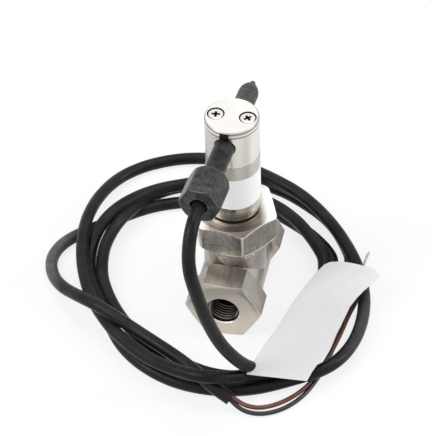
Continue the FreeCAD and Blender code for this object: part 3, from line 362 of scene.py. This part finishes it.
def bonnet_steel():
    """Hexagon bonnet: brushed flats with a bright line along every turned edge, from wear and a painted
    highlight, and painted light and shade on the flats and shoulder.
    """
    f = Finish("brushed bonnet steel", (0.3, 0.27, 0.25), 0.33, 1.0, Anisotropic=0.75)
    around = f.add("Tangent", direction_type="RADIAL", axis="Z").outputs["Tangent"]
    f.tree.links.new(around, f.surface.inputs["Tangent"])
    grain = long_grain(f, "Z")
    blotch = f.noise(0.006, 4)
    flats = f.tint(f.span(blotch, 0.3, 0.7), (0.21, 0.19, 0.16), (0.33, 0.3, 0.26))
    flats = f.tint(f.span(grain, 0.4, 1.0), flats, (0.5, 0.465, 0.415))
    # painted light: the flats painted lighter toward the left front, where light falls
    left_side_light = f.span(toward(f, -0.97, -0.22), -0.002, 0.004)
    flats = f.tint(f.sum("MULTIPLY", left_side_light, 0.85), flats, (0.93, 0.89, 0.81))
    mottle = f.span(f.noise(0.0011, 5), 0.42, 0.62, 0.0, 0.36)
    flats = f.tint(mottle, flats, (0.12, 0.1, 0.08))
    up = height(f)
    radius = reach(f, "Z")
    # turned cones meet the flats in arcs: top cone and bottom cone
    slope = f.sum("MULTIPLY", f.sum("SUBTRACT", radius, 0.0152), 0.565)
    top_arc = near(f, f.sum("ADD", up, slope), 0.0482, 0.0005)
    foot_arc = near(f, f.sum("SUBTRACT", up, slope), 0.0356, 0.00048)
    upright = f.span(facing(f, "Z"), 0.3, 0.2)
    on_land = f.span(radius, 0.01736, 0.01744)
    turned = f.sum("ADD", f.sum("ARCTAN2", height(f, "Y"), height(f, "X")), math.radians(67.5))
    ridge = near(f, f.sum("SINE", f.sum("MULTIPLY", turned, 3)), 0.0, 0.11)
    land = f.sum("MULTIPLY", on_land, ridge)
    # bright lines along the turned edges and corner lands, partly wear and partly a painted highlight
    wear_and_glint = f.sum("MAXIMUM", f.sum("MULTIPLY", f.sum("MAXIMUM", top_arc, foot_arc), upright), land)
    wear_and_glint = f.sum("MULTIPLY", wear_and_glint, f.span(radius, 0.0149, 0.0152))
    above = f.span(f.sum("ADD", up, slope), 0.04832, 0.04838)
    lying = f.sum("MULTIPLY", f.span(facing(f, "Z"), 0.3, 0.6), f.span(up, 0.0465, 0.047))
    above = f.sum("MAXIMUM", above, lying)
    shoulder = f.tint(f.span(blotch, 0.3, 0.7), (0.24, 0.214, 0.183), (0.39, 0.356, 0.313))
    # painted shade toward the front of the shoulder, and painted reflections lighter toward the left front
    # and brightest toward the right back
    front_shade = f.span(toward(f, 0.3, -0.95), 0.0085, 0.0125)
    shoulder = f.tint(f.sum("MULTIPLY", front_shade, 0.62), shoulder, (0.085, 0.072, 0.06))
    shoulder = f.tint(f.span(toward(f, -0.97, -0.22), 0.0095, 0.0135, 0.0, 0.6), shoulder, (0.8, 0.77, 0.72))
    shoulder = f.tint(f.span(toward(f, 0.95, 0.3), 0.0095, 0.0135), shoulder, (0.98, 0.97, 0.95))
    colour = f.tint(above, flats, shoulder)
    edges = f.sum("MULTIPLY", edge_wear_and_glint(f, 0.00035), f.span(on_land, 0, 1, 0.8, 0))
    wear_and_glint = f.sum("MAXIMUM", wear_and_glint, edges)
    # the edge lines painted bright, partly wear and partly a painted highlight
    colour = f.tint(f.sum("MULTIPLY", wear_and_glint, 0.8), colour, (0.9, 0.87, 0.82))
    f.paint(colour)
    f.gloss(f.span(grain, 0.3, 0.7, 0.28, 0.44))
    lathe_rings(f, radius, above, 0.0005)
    f.relief(f.sum("MULTIPLY", grain, f.span(above, 0, 1, 1, 0)), 0.00003, 0.35)
    return f


def tube_steel():
    """Drawn and polished tube: soft streaks along it, partly drawn marks and partly painted reflection
    bands, and faint marks round it.
    """
    f = Finish("polished tube", (0.6, 0.575, 0.54), 0.2, 1.0)
    # streaks along the tube painted light and dark, partly drawn marks and partly painted reflection bands
    streak = f.add("TexNoise", {"Vector": f.place((120, 120, 2)), "Scale": 1, "Detail": 1}).outputs["Fac"]
    colour = f.tint(f.span(streak, 0.34, 0.66), (0.38, 0.355, 0.31), (0.8, 0.775, 0.73))
    colour = f.tint(f.span(f.noise(0.012, 3), 0.4, 0.8), colour, (0.6, 0.57, 0.53))
    # painted shade: the tube painted darker low on its right front side
    low = f.sum("MULTIPLY", f.span(height(f), 0.0566, 0.0562), f.span(toward(f, 0.9, -0.4), 0.001, 0.007))
    f.paint(f.tint(f.sum("MULTIPLY", low, 0.75), colour, (0.33, 0.3, 0.25)))
    marks = banded(f, "Z", 0.00035, 0.000015, 0.35)
    f.gloss(f.span(marks, 0.3, 0.7, 0.16, 0.3))
    return f


def clear_film():
    """Matt clear tail of the label over the tube."""
    f = Finish("clear label film", (0.34, 0.31, 0.27), 0.42, 1.0)
    # the same streaks, partly drawn marks and partly painted reflection bands
    streak = f.add("TexNoise", {"Vector": f.place((120, 120, 2)), "Scale": 1, "Detail": 1}).outputs["Fac"]
    f.paint(f.tint(f.span(streak, 0.34, 0.66), (0.32, 0.295, 0.25), (0.58, 0.55, 0.5)))
    f.gloss(f.span(f.noise(0.003, 3), 0.3, 0.7, 0.34, 0.5))
    f.relief(f.noise(0.0005, 3), 0.00002, 0.25)
    return f


def lid_face():
    """Pale satin lid with a fine dark joint under it, painted shade along its rim and lip and painted shade
    round the screw seats.
    """
    f = Finish("pale lid", (0.8, 0.78, 0.74), 0.34, 0.2)
    colour = f.tint(f.span(f.noise(0.01, 4), 0.3, 0.7), (0.76, 0.735, 0.7), (0.82, 0.81, 0.79))
    up = height(f)
    radius = reach(f, "Z")
    # painted shade: a dark line round the top edge of the lid
    rim = f.sum("MULTIPLY", near(f, radius, 0.0101, 0.00032), f.span(up, 0.0955, 0.0957))
    colour = f.tint(f.sum("MULTIPLY", rim, 0.55), colour, (0.33, 0.29, 0.24))
    joint = f.span(up, 0.0939, 0.0936)
    colour = f.tint(f.sum("MULTIPLY", joint, 0.85), colour, (0.1, 0.08, 0.06))
    # painted shadow: a dark line just under the lid's top edge
    lip = f.sum("MULTIPLY", near(f, up, 0.0954, 0.0007), f.span(radius, 0.01025, 0.01032))
    colour = f.tint(f.sum("MULTIPLY", lip, 0.85), colour, (0.12, 0.085, 0.06))
    # painted shade: dark rings round the screw heads where they sit in the lid
    for side in (-0.0062, 0.0062):
        seat = f.span(reach(f, "Z", (side, 0, 0)), 0.00352, 0.00342)
        seat = f.sum("MULTIPLY", seat, f.span(up, 0.09598, 0.0959))
        colour = f.tint(seat, colour, (0.012, 0.01, 0.009))
    f.paint(colour)
    f.gloss(f.span(f.noise(0.002, 3), 0.3, 0.7, 0.28, 0.42))
    f.relief(f.noise(0.0003, 3), 0.00002, 0.25)
    return f


def screw_steel():
    """Bright heads; the cross recess and the side of each head are painted dark as shade."""
    f = Finish("screw steel", (0.8, 0.78, 0.75), 0.22, 1.0)
    # painted shade: everything below the top of the head, in the cross and down its side, is near black
    f.paint(f.tint(f.span(height(f), 0.0955, 0.09575), (0.012, 0.01, 0.009), (0.84, 0.82, 0.79)))
    f.gloss(f.span(f.noise(0.0008, 3), 0.3, 0.7, 0.16, 0.3))
    f.relief(f.noise(0.0004, 3), 0.00002, 0.3)
    return f


def moulded_black(name, shade, roughness, grain, cloud=0.004, edges=0.0003, rub_and_glint=0.0):
    """Black plastic or rubber with a fine moulded grain and a little pale mottling, its edges painted
    lighter when asked, partly wear and partly a painted highlight.
    """
    f = Finish(name, (shade, shade, shade * 1.04), roughness, 0.0, Specular_IOR_Level=0.22)
    patch = f.noise(cloud, 4)
    dark = (shade * 0.3, shade * 0.3, shade * 0.3)
    pale = (shade * 2.1, shade * 2.11, shade * 2.22)
    f.soft_edges(edges)
    speckled = f.sum("ADD", patch, f.sum("MULTIPLY", f.noise(grain * 2, 3), 0.5))
    colour = f.tint(f.span(speckled, 0.55, 1.0), dark, pale)
    # edges painted lighter, partly wear and partly a painted highlight
    if rub_and_glint:
        colour = f.tint(f.sum("MULTIPLY", edge_wear_and_glint(f, edges), rub_and_glint), colour, (0.26, 0.26, 0.268))
    f.paint(colour)
    f.gloss(f.span(f.noise(cloud * 0.4, 3), 0.3, 0.7, roughness - 0.07, roughness + 0.1))
    f.relief(f.noise(grain, 3), grain * 0.12, 0.35)
    return f


def moulded_rings(f, ringed):
    """Lays rings across the capsule's line where the mask is 1: bumped, with crests painted lighter as a
    highlight and troughs painted darker as shade.
    """
    plain = f.surface.inputs["Base Color"].links[0].from_socket
    along = f.place(turn=(0, 0, CAPSULE_TURN))
    where = f.add("SeparateXYZ", {"Vector": along}).outputs["Y"]
    rings = f.sum("SINE", f.sum("MULTIPLY", where, 2 * math.pi / 0.0011))
    wear_and_glint = f.span(f.noise(0.0016, 3), 0.3, 0.7)
    crests = f.tint(wear_and_glint, (0.09, 0.09, 0.094), (0.2, 0.2, 0.208))
    # painted light and shade: ring crests lighter, troughs near black
    grey = f.tint(f.span(rings, -0.5, 0.6), (0.035, 0.035, 0.037), crests)
    f.paint(f.tint(ringed, plain, grey))
    f.relief(f.sum("MULTIPLY", rings, ringed), 0.0003, 0.9)
    return f


def capsule_nylon():
    """Capsule sleeve: black, with fine rings moulded round it toward the cap, painted greyer there as light
    and shade.
    """
    f = moulded_black("capsule nylon", 0.018, 0.3, 0.00035, 0.003)
    f.surface.inputs["Specular IOR Level"].default_value = 0.16
    return moulded_rings(f, f.span(height(f, "Y"), 0.0125, 0.013))


def ribbed_cap():
    """End cap of the capsule, ringed all over."""
    return moulded_rings(moulded_black("end cap nylon", 0.1, 0.5, 0.0004, 0.002), 1.0)


def jacket():
    """Cable jacket: soft black vinyl, faintly drawn along its length."""
    f = moulded_black("black cable jacket", 0.009, 0.36, 0.0005, 0.012)
    f.surface.inputs["Specular IOR Level"].default_value = 0.15
    f.surface.inputs["Sheen Weight"].default_value = 0.3
    f.surface.inputs["Sheen Roughness"].default_value = 0.22
    plain = f.surface.inputs["Base Color"].links[0].from_socket
    # painted sheen: the outermost turns on the left and right painted lighter, where they catch the light
    wear_and_glint = f.span(f.noise(0.0025, 4), 0.25, 0.65, 0.55, 1.0)
    left = f.span(height(f, "X"), -0.069, -0.0765, 0.0, 0.9)
    right = f.span(height(f, "X"), 0.0485, 0.055, 0.0, 0.32)
    painted_sheen = f.sum("MULTIPLY", wear_and_glint, f.sum("MAXIMUM", left, right))
    f.paint(f.tint(painted_sheen, plain, (0.135, 0.132, 0.142)))
    return f


def core_cover(name, colour, deep):
    """Thin coloured insulation of one core."""
    f = Finish(name, colour, 0.36)
    f.paint(f.tint(f.span(f.noise(0.003, 3), 0.3, 0.7), deep, colour))
    f.gloss(f.span(f.noise(0.0015, 2), 0.3, 0.7, 0.3, 0.46))
    f.relief(f.noise(0.0006, 2), 0.00005, 0.25)
    return f


def paper(name, colour, sheen=0.0, gloss=0.5, far=None):
    """Coated paper or film: faint fibres under a smooth face, painted paler toward its far end as light
    falling there, if asked.
    """
    f = Finish(name, colour, gloss, 0.0, Coat_Weight=sheen, Coat_Roughness=0.3)
    warm = tuple(c * k for c, k in zip(colour, (0.985, 0.98, 0.965)))
    if far:
        pale = f.tint(f.span(height(f, "Y"), -0.012, 0.006), colour, far)
        f.paint(f.tint(f.span(f.noise(0.006, 5), 0.3, 0.7, 0.0, 0.5), pale, warm))
    else:
        f.paint(f.tint(f.span(f.noise(0.006, 5), 0.3, 0.7), warm, colour))
    fibres = f.add("TexNoise", {"Vector": f.place((400, 2600, 2600)), "Scale": 1, "Detail": 5})
    f.relief(fibres.outputs["Fac"], 0.00002, 0.2)
    f.gloss(f.span(f.noise(0.004, 3), 0.3, 0.7, gloss - 0.06, gloss + 0.08))
    return f


def fine_metal(name, colour, roughness, grain=0.0004):
    """Small turned or pressed metal parts."""
    f = Finish(name, colour, roughness, 1.0)
    dull = tuple(c * 0.72 for c in colour)
    f.paint(f.tint(f.span(f.noise(0.0025, 4), 0.3, 0.7), dull, colour))
    f.gloss(f.span(f.noise(0.001, 3), 0.3, 0.7, roughness - 0.05, roughness + 0.12))
    f.relief(f.noise(grain, 3), 0.00002, 0.3)
    return f


def clear_glass():
    """Tube of the reed switch."""
    f = Finish("reed tube glass", (0.8, 0.92, 0.86), 0.04, 0.0, Transmission_Weight=0.92, IOR=1.5)
    f.relief(f.noise(0.002, 2), 0.00002, 0.1)
    f.gloss(f.span(f.noise(0.003, 2), 0.3, 0.7, 0.02, 0.08))
    return f


def laminate():
    """Green glass-cloth laminate under the reed switch."""
    f = Finish("board laminate", (0.05, 0.2, 0.08), 0.4)
    warp = f.add("TexWave", {"Vector": f.place(), "Scale": 700, "Distortion": 0.4}, bands_direction="X")
    weft = f.add("TexWave", {"Vector": f.place(), "Scale": 700, "Distortion": 0.4}, bands_direction="Y")
    cloth = f.sum("MULTIPLY", warp.outputs["Fac"], weft.outputs["Fac"])
    f.paint(f.tint(cloth, (0.035, 0.15, 0.06), (0.07, 0.26, 0.11)))
    f.relief(cloth, 0.00003, 0.3)
    return f


# Cords
def laid_line(name, points, thickness, finish, sides=5, steps=8):
    """A round cord along one smooth line near its points."""
    curve = bpy.data.curves.new(name, "CURVE")
    curve.dimensions = "3D"
    spline = curve.splines.new("NURBS")
    spline.points.add(len(points) - 1)
    for knot, place in zip(spline.points, points):
        knot.co = (*place, 1)
    spline.order_u = 3
    spline.use_endpoint_u = True
    curve.resolution_u = steps
    curve.bevel_depth = thickness / 2
    curve.bevel_resolution = sides
    curve.use_fill_caps = True
    curve.materials.append(finish.material)
    cord = bpy.data.objects.new(name, curve)
    bpy.context.scene.collection.objects.link(cord)
    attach(cord, "switch_body")
    return cord


def finished(name, mesh, finish, body, smooth=True):
    """Closes a bmesh into a piece that rides on a body."""
    bmesh.ops.remove_doubles(mesh, verts=mesh.verts, dist=1e-7)
    bmesh.ops.recalc_face_normals(mesh, faces=mesh.faces)
    data = bpy.data.meshes.new(name)
    mesh.to_mesh(data)
    mesh.free()
    for face in data.polygons:
        face.use_smooth = smooth
    if smooth:
        data.set_sharp_from_angle(angle=math.radians(40))
    data.materials.append(finish.material)
    piece = bpy.data.objects.new(name, data)
    bpy.context.scene.collection.objects.link(piece)
    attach(piece, body)
    return piece


def drawn_down(mesh, edges, depth, share):
    """Extrudes a loop straight down, scales it about the upright axis and gives back its new edges."""
    made = bmesh.ops.extrude_edge_only(mesh, edges=edges)["geom"]
    verts = [g for g in made if isinstance(g, bmesh.types.BMVert)]
    bmesh.ops.scale(mesh, verts=verts, vec=(share, share, 1))
    bmesh.ops.translate(mesh, verts=verts, vec=(0, 0, -depth))
    return [g for g in made if isinstance(g, bmesh.types.BMEdge) and all(v in verts for v in g.verts)]


def cross_screws(finish):
    """Two lid screws with a tapered cross recess in each head, the right one turned further."""
    head, shank, spacing, top = 2.9 * MM, 1.45 * MM, 6.2 * MM, 95.8 * MM
    recess, head_height, shank_length = 1.0 * MM, 1.8 * MM, 9.0 * MM
    mesh = bmesh.new()
    for side, turn in ((-1, 0.1), (1, 0.72)):
        rim = bmesh.ops.create_circle(mesh, segments=48, radius=head)["verts"]
        rim_edges = [e for e in mesh.edges if all(v in rim for v in e.verts)]
        arm, half = 1.7 * MM, 0.5 * MM
        cross = []
        for step in range(4):
            quarter = Matrix.Rotation(step * math.pi / 2, 3, "Z")
            corners = ((arm, -half, 0), (arm, half, 0), (half, half, 0))
            cross += [mesh.verts.new(quarter @ Vector(corner)) for corner in corners]
        cross_edges = [mesh.edges.new(pair) for pair in zip(cross, cross[1:] + cross[:1])]
        bmesh.ops.triangle_fill(mesh, edges=rim_edges + cross_edges, use_beauty=True)
        floor = drawn_down(mesh, cross_edges, recess, 0.62)
        bmesh.ops.edgeloop_fill(mesh, edges=floor)
        under = drawn_down(mesh, rim_edges, head_height, 1.0)
        neck = drawn_down(mesh, under, 0.0, shank / head)
        end = drawn_down(mesh, neck, shank_length, 1.0)
        bmesh.ops.edgeloop_fill(mesh, edges=end)
        bmesh.ops.bevel(
            mesh, geom=rim_edges, offset=0.2 * MM, segments=2, profile=0.5, affect="EDGES", material=-1
        )
        # the one just made still lies at the table, and an earlier one is up in the lid
        screw = [v for v in mesh.verts if v.co.z < top / 2]
        seat = Matrix.Translation((side * spacing, 0, top)) @ Matrix.Rotation(turn, 4, "Z")
        bmesh.ops.transform(mesh, matrix=seat, verts=screw)
    return finished("cross_screws", mesh, finish, "switch_body")


def cap_crown(finish):
    """Stub of the moulding sprue on the tip of the end cap: eight sides and a hollow top."""
    foot, tip_radius, length = 1.25 * MM, 1.1 * MM, 1.9 * MM
    mesh = bmesh.new()
    bmesh.ops.create_cone(
        mesh, cap_ends=True, segments=8, radius1=foot, radius2=tip_radius, depth=length
    )
    top = max(mesh.faces, key=lambda face: face.calc_center_median().z)
    bmesh.ops.inset_region(mesh, faces=[top], thickness=0.3 * MM)
    bmesh.ops.translate(mesh, verts=top.verts, vec=(0, 0, -0.35 * MM))
    # laid along the capsule's line
    lean = Matrix.Rotation(-CAPSULE_TURN, 4, "Z") @ Matrix.Rotation(math.radians(-90), 4, "X")
    tip = Matrix.Translation((2.16 * MM, 27.4 * MM, CAPSULE_HEIGHT))
    bmesh.ops.transform(mesh, matrix=tip @ lean, verts=mesh.verts)
    return finished("cap_crown", mesh, finish, "reed_capsule", smooth=False)


def tag_sheet(finish):
    """Stiff pale film flag: two long edges bridged, crossed with finer rows and slightly crowned."""
    crown, thickness = 0.35 * MM, 0.22 * MM
    mesh = bmesh.new()
    edges = []
    for side in (TAG_LEFT, TAG_RIGHT):
        row = [mesh.verts.new(place) for place in side]
        edges += [mesh.edges.new(pair) for pair in zip(row, row[1:])]
    bmesh.ops.bridge_loops(mesh, edges=edges)
    rungs = [e for e in mesh.edges if e not in edges]
    bmesh.ops.subdivide_edges(mesh, edges=rungs, cuts=7, use_grid_fill=True)
    inner = [v for v in mesh.verts if not v.is_boundary]
    for vert in inner:
        vert.co.z += crown
    for _ in range(3):
        bmesh.ops.smooth_vert(mesh, verts=inner, factor=0.5, use_axis_z=True)
    bmesh.ops.subdivide_edges(mesh, edges=mesh.edges[:], cuts=1, use_grid_fill=True, smooth=0.6)
    bmesh.ops.recalc_face_normals(mesh, faces=mesh.faces)
    bmesh.ops.solidify(mesh, geom=mesh.faces[:], thickness=thickness)
    return finished("film_tag", mesh, finish, "switch_body")


def tinned_strands(finish):
    """Fine wires of the bared end, loosely twisted and a little splayed."""
    curve = bpy.data.curves.new("tinned_strands", "CURVE")
    curve.dimensions = "3D"
    lay = [Vector(p) for p in TINNED_END]
    ahead = (lay[-1] - lay[0]).normalized()
    across = ahead.cross(Vector((0, 0, 1))).normalized()
    over = across.cross(ahead)
    # six wires laid round a middle one, each through ten points
    outer, last = 6, 9
    for strand in range(outer + 1):
        spline = curve.splines.new("NURBS")
        spline.points.add(last)
        for step, knot in enumerate(spline.points):
            way = step / last * (len(lay) - 1)
            first = min(int(way), len(lay) - 2)
            middle = lay[first].lerp(lay[first + 1], way - first)
            out = 0.0 if strand == outer else (0.34 + 0.022 * step) * MM
            angle = strand * math.pi / 3 + step * 0.42
            side = across * math.cos(angle) + over * math.sin(angle)
            ragged = 0.0004 * math.sin(strand * 2.1) if step == last else 0
            knot.co = (*(middle + side * out + ahead * ragged), 1)
        spline.order_u = 3
        spline.use_endpoint_u = True
    curve.bevel_depth = 0.17 * MM
    curve.bevel_resolution = 2
    curve.resolution_u = 3
    curve.use_fill_caps = True
    curve.materials.append(finish.material)
    wires = bpy.data.objects.new("tinned_strands", curve)
    bpy.context.scene.collection.objects.link(wires)
    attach(wires, "switch_body")
    return wires


def label_tail(finish):
    """Clear end of the label film: a thin shell round the tube, open at the back as the label is."""
    foot, top, radius, skin = 71.62 * MM, 78.1 * MM, 10.53 * MM, 0.06 * MM
    begin, sweep = math.radians(-252), math.radians(324)
    mesh = bmesh.new()
    corners = [(radius, foot), (radius + skin, foot), (radius + skin, top), (radius, top)]
    section = mesh.faces.new([mesh.verts.new((r, 0, z)) for r, z in corners])
    start = Matrix.Rotation(begin, 3, "Z")
    bmesh.ops.rotate(mesh, verts=mesh.verts, cent=(0, 0, 0), matrix=start)
    bmesh.ops.spin(
        mesh,
        geom=[section, *section.edges, *section.verts],
        cent=(0, 0, 0),
        axis=(0, 0, 1),
        angle=sweep,
        steps=96,
        use_duplicate=False,
    )
    bmesh.ops.holes_fill(mesh, edges=[e for e in mesh.edges if e.is_boundary], sides=0)
    return finished("label_tail", mesh, finish, "switch_body")


def port_thread(name, end, finish):
    """Pipe thread in one end of the tee: toothed profile turned once round with one pitch of lead."""
    pitch, teeth = 1.337 * MM, 6
    root, crest, wall = 6.56 * MM, 5.74 * MM, 6.575 * MM
    start = 24.3 * MM
    profile = []
    for tooth in range(teeth):
        edge = start - tooth * pitch
        profile += [(root, edge), (crest, edge - 0.42 * pitch), (crest, edge - 0.58 * pitch)]
    last = start - teeth * pitch
    profile += [(root, last), (wall, last), (wall, start)]
    mesh = bmesh.new()
    corners = [mesh.verts.new((r, -end * y, 0)) for r, y in profile]
    face = mesh.faces.new(corners)
    steps = 64
    # just short of a full turn, so that the first and last sections don't merge where they meet
    full = 2 * math.pi * 0.9995
    bmesh.ops.spin(
        mesh,
        geom=[face, *face.edges, *face.verts],
        cent=(0, 0, 0),
        axis=(0, 1, 0),
        dvec=(0, end * pitch / steps, 0),
        angle=full,
        steps=steps,
        use_duplicate=False,
    )
    bmesh.ops.holes_fill(mesh, edges=[e for e in mesh.edges if e.is_boundary], sides=0)
    bmesh.ops.translate(mesh, verts=mesh.verts, vec=(0, 0, RUN_HEIGHT))
    return finished(name, mesh, finish, "switch_body", smooth=False)


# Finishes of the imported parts
bar = bar_steel()
thread = thread_steel()
hexagon = bonnet_steel()
film = clear_film()
tube = tube_steel()
lid = lid_face()
screws = screw_steel()
capsule_black = capsule_nylon()
cap_black = ribbed_cap()
# the nut's edges painted lighter, partly wear and partly a painted highlight
nut_black = moulded_black("gland nylon", 0.034, 0.3, 0.00045, 0.003, 0.0006, 1.0)
rubber = moulded_black("black rubber", 0.006, 0.6, 0.0004)
cable_black = jacket()
brown = core_cover("brown insulation", (0.18, 0.068, 0.031), (0.11, 0.038, 0.018))
black = core_cover("black insulation", (0.014, 0.014, 0.015), (0.009, 0.009, 0.01))
label_paper = paper("white label film", (0.93, 0.93, 0.94), 0.2, 0.42)
tag_film = paper("pale tag film", (0.66, 0.662, 0.668), 0.1, 0.5, (0.76, 0.762, 0.766))
brass = fine_metal("paddle brass", (0.72, 0.53, 0.26), 0.3)
magnet = fine_metal("magnet plating", (0.42, 0.42, 0.44), 0.3)
strands = fine_metal("tinned strands", (0.72, 0.71, 0.69), 0.28, 0.0002)
pin_steel = fine_metal("pin steel", (0.66, 0.65, 0.63), 0.25)
pad = core_cover("brown felt pad", (0.035, 0.014, 0.011), (0.02, 0.009, 0.007))
resin = moulded_black("potting resin", 0.05, 0.25, 0.002)
block_plastic = moulded_black("clamp block acetal", 0.014, 0.5, 0.0004)
glass = clear_glass()
board = laminate()

dressing = {
    "tee_body": bar,
    "hex_bonnet": hexagon,
    "neck_o_ring": rubber,
    "housing_seal": rubber,
    "sensor_housing": tube,
    "name_label": label_paper,
    "clamp_block": block_plastic,
    "reset_magnet": magnet,
    "clamp_pad": pad,
    "clamp_lid": lid,
    "lid_screws": screws,
    "pivot_yoke": pin_steel,
    "pivot_pin": pin_steel,
    "paddle_arm": brass,
    "pivot_bushes": pin_steel,
    "paddle_blade": pin_steel,
    "paddle_rivets": brass,
    "magnet_cup": brass,
    "arm_magnet": magnet,
    "capsule_sleeve": capsule_black,
    "capsule_end_cap": cap_black,
    "gland_nut": nut_black,
    "gland_grommet": rubber,
    "potting_plug": resin,
    "reed_glass": glass,
    "reed_blades": pin_steel,
    "reed_board": board,
    "inner_leads": brown,
    "cable_coil": cable_black,
    "cable_drop": cable_black,
    "cable_tail": cable_black,
    "brown_core": brown,
    "black_core": black,
    "core_tip": strands,
    "cable_tag": tag_film,
}
for node, finish in dressing.items():
    for slot in nodes[node].material_slots:
        slot.material = finish.material

# New pieces
cable = laid_line("signal_cable", CABLE, CABLE_DIAMETER, cable_black)
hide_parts("cable_drop", "cable_coil", "cable_tail")
brown_wire = laid_line("brown_wire", BROWN_WIRE, CORE_DIAMETER, brown, sides=3, steps=6)
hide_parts("brown_core")
black_wire = laid_line("black_wire", BLACK_WIRE, CORE_DIAMETER, black, sides=3, steps=6)
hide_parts("black_core")

heads = cross_screws(screws)
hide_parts("lid_screws")
cap_crown(cap_black)
tag = tag_sheet(tag_film)
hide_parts("cable_tag")
tinned = tinned_strands(strands)
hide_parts("core_tip")

for name, end in (("front_port_thread", 1), ("back_port_thread", -1)):
    port_thread(name, end, thread)
label_tail(film)


# Camera
def aim_camera():
    yaw, pitch, roll = (math.radians(a) for a in (13.9, 44.81, -2.08))
    ahead = Vector((-math.sin(yaw) * math.cos(pitch), math.cos(yaw) * math.cos(pitch), -math.sin(pitch)))
    level = Vector((math.cos(yaw), math.sin(yaw), 0))
    above = level.cross(ahead)
    right = level * math.cos(roll) + above * math.sin(roll)
    up = above * math.cos(roll) - level * math.sin(roll)
    film_width, focal, picture_width = 36, 2000, 432
    data = bpy.data.cameras.new("camera")
    data.sensor_fit = "HORIZONTAL"
    data.sensor_width = film_width
    data.lens = film_width * focal / picture_width
    data.clip_start = 0.01
    camera = bpy.data.objects.new("camera", data)
    turn = Matrix((right, up, -ahead)).transposed().to_4x4()
    camera.matrix_world = Matrix.Translation((0.1282, -0.5486, 0.6013)) @ turn
    bpy.context.scene.collection.objects.link(camera)
    bpy.context.scene.camera = camera


# Studio
def seen_directly(tree):
    """1 for what the camera sees itself, in a reflection or through glass."""
    path = tree.nodes.new("ShaderNodeLightPath")
    best = None
    for ray in ("Is Camera Ray", "Is Glossy Ray", "Is Transmission Ray"):
        if best is None:
            best = path.outputs[ray]
            continue
        either = tree.nodes.new("ShaderNodeMath")
        either.operation = "MAXIMUM"
        tree.links.new(best, either.inputs[0])
        tree.links.new(path.outputs[ray], either.inputs[1])
        best = either.outputs[0]
    return best


def white_room(light):
    world = bpy.data.worlds.new("white room")
    bpy.context.scene.world = world
    world.use_nodes = True
    tree = world.node_tree
    lit = tree.nodes["Background"]
    lit.inputs["Color"].default_value = (1, 1, 1, 1)
    lit.inputs["Strength"].default_value = light
    seen = tree.nodes.new("ShaderNodeBackground")
    seen.inputs["Color"].default_value = (1, 1, 1, 1)
    seen.inputs["Strength"].default_value = 1
    choose = tree.nodes.new("ShaderNodeMixShader")
    tree.links.new(seen_directly(tree), choose.inputs["Fac"])
    tree.links.new(lit.outputs[0], choose.inputs[1])
    tree.links.new(seen.outputs[0], choose.inputs[2])
    tree.links.new(choose.outputs[0], tree.nodes["World Output"].inputs["Surface"])


def table_top():
    """Pale table that stays white around the part and keeps its shadow."""
    mesh = bmesh.new()
    bmesh.ops.create_circle(mesh, cap_ends=True, radius=3, segments=96)
    bmesh.ops.translate(mesh, verts=mesh.verts, vec=(0, 0, -0.0002))
    data = bpy.data.meshes.new("table_top")
    mesh.to_mesh(data)
    mesh.free()
    f = Finish("white table", (0.9, 0.9, 0.9), 0.7)
    f.paint(f.tint(f.noise(0.08, 3), (0.895, 0.895, 0.895), (0.91, 0.91, 0.91)))
    glow = f.add("Emission", {"Color": (1, 1, 1, 1), "Strength": 1.0})
    share = f.sum("MULTIPLY", seen_directly(f.tree), 0.8)
    mix = f.add("MixShader", {"Fac": share})
    f.tree.links.new(f.surface.outputs[0], mix.inputs[1])
    f.tree.links.new(glow.outputs[0], mix.inputs[2])
    f.tree.links.new(mix.outputs[0], f.tree.nodes["Material Output"].inputs["Surface"])
    data.materials.append(f.material)
    table = bpy.data.objects.new("table_top", data)
    bpy.context.scene.collection.objects.link(table)


def soft_box(name, place, target, width, height, power):
    data = bpy.data.lights.new(name, "AREA")
    data.shape = "RECTANGLE"
    data.size = width
    data.size_y = height
    data.energy = power
    lamp = bpy.data.objects.new(name, data)
    lamp.location = place
    lamp.rotation_euler = (Vector(target) - Vector(place)).to_track_quat("-Z", "Y").to_euler()
    bpy.context.scene.collection.objects.link(lamp)


aim_camera()
white_room(0.5)
table_top()
soft_box("key_box", (-0.55, -0.35, 0.75), (0, 0, 0.05), 0.3, 0.6, 4.4)
soft_box("side_box", (0.7, 0.1, 0.45), (0, 0, 0.05), 0.2, 0.6, 2.4)
soft_box("top_box", (0.1, 0.25, 1.0), (0, 0, 0.05), 0.6, 0.4, 2.5)
bpy.context.scene.view_settings.view_transform = "Standard"
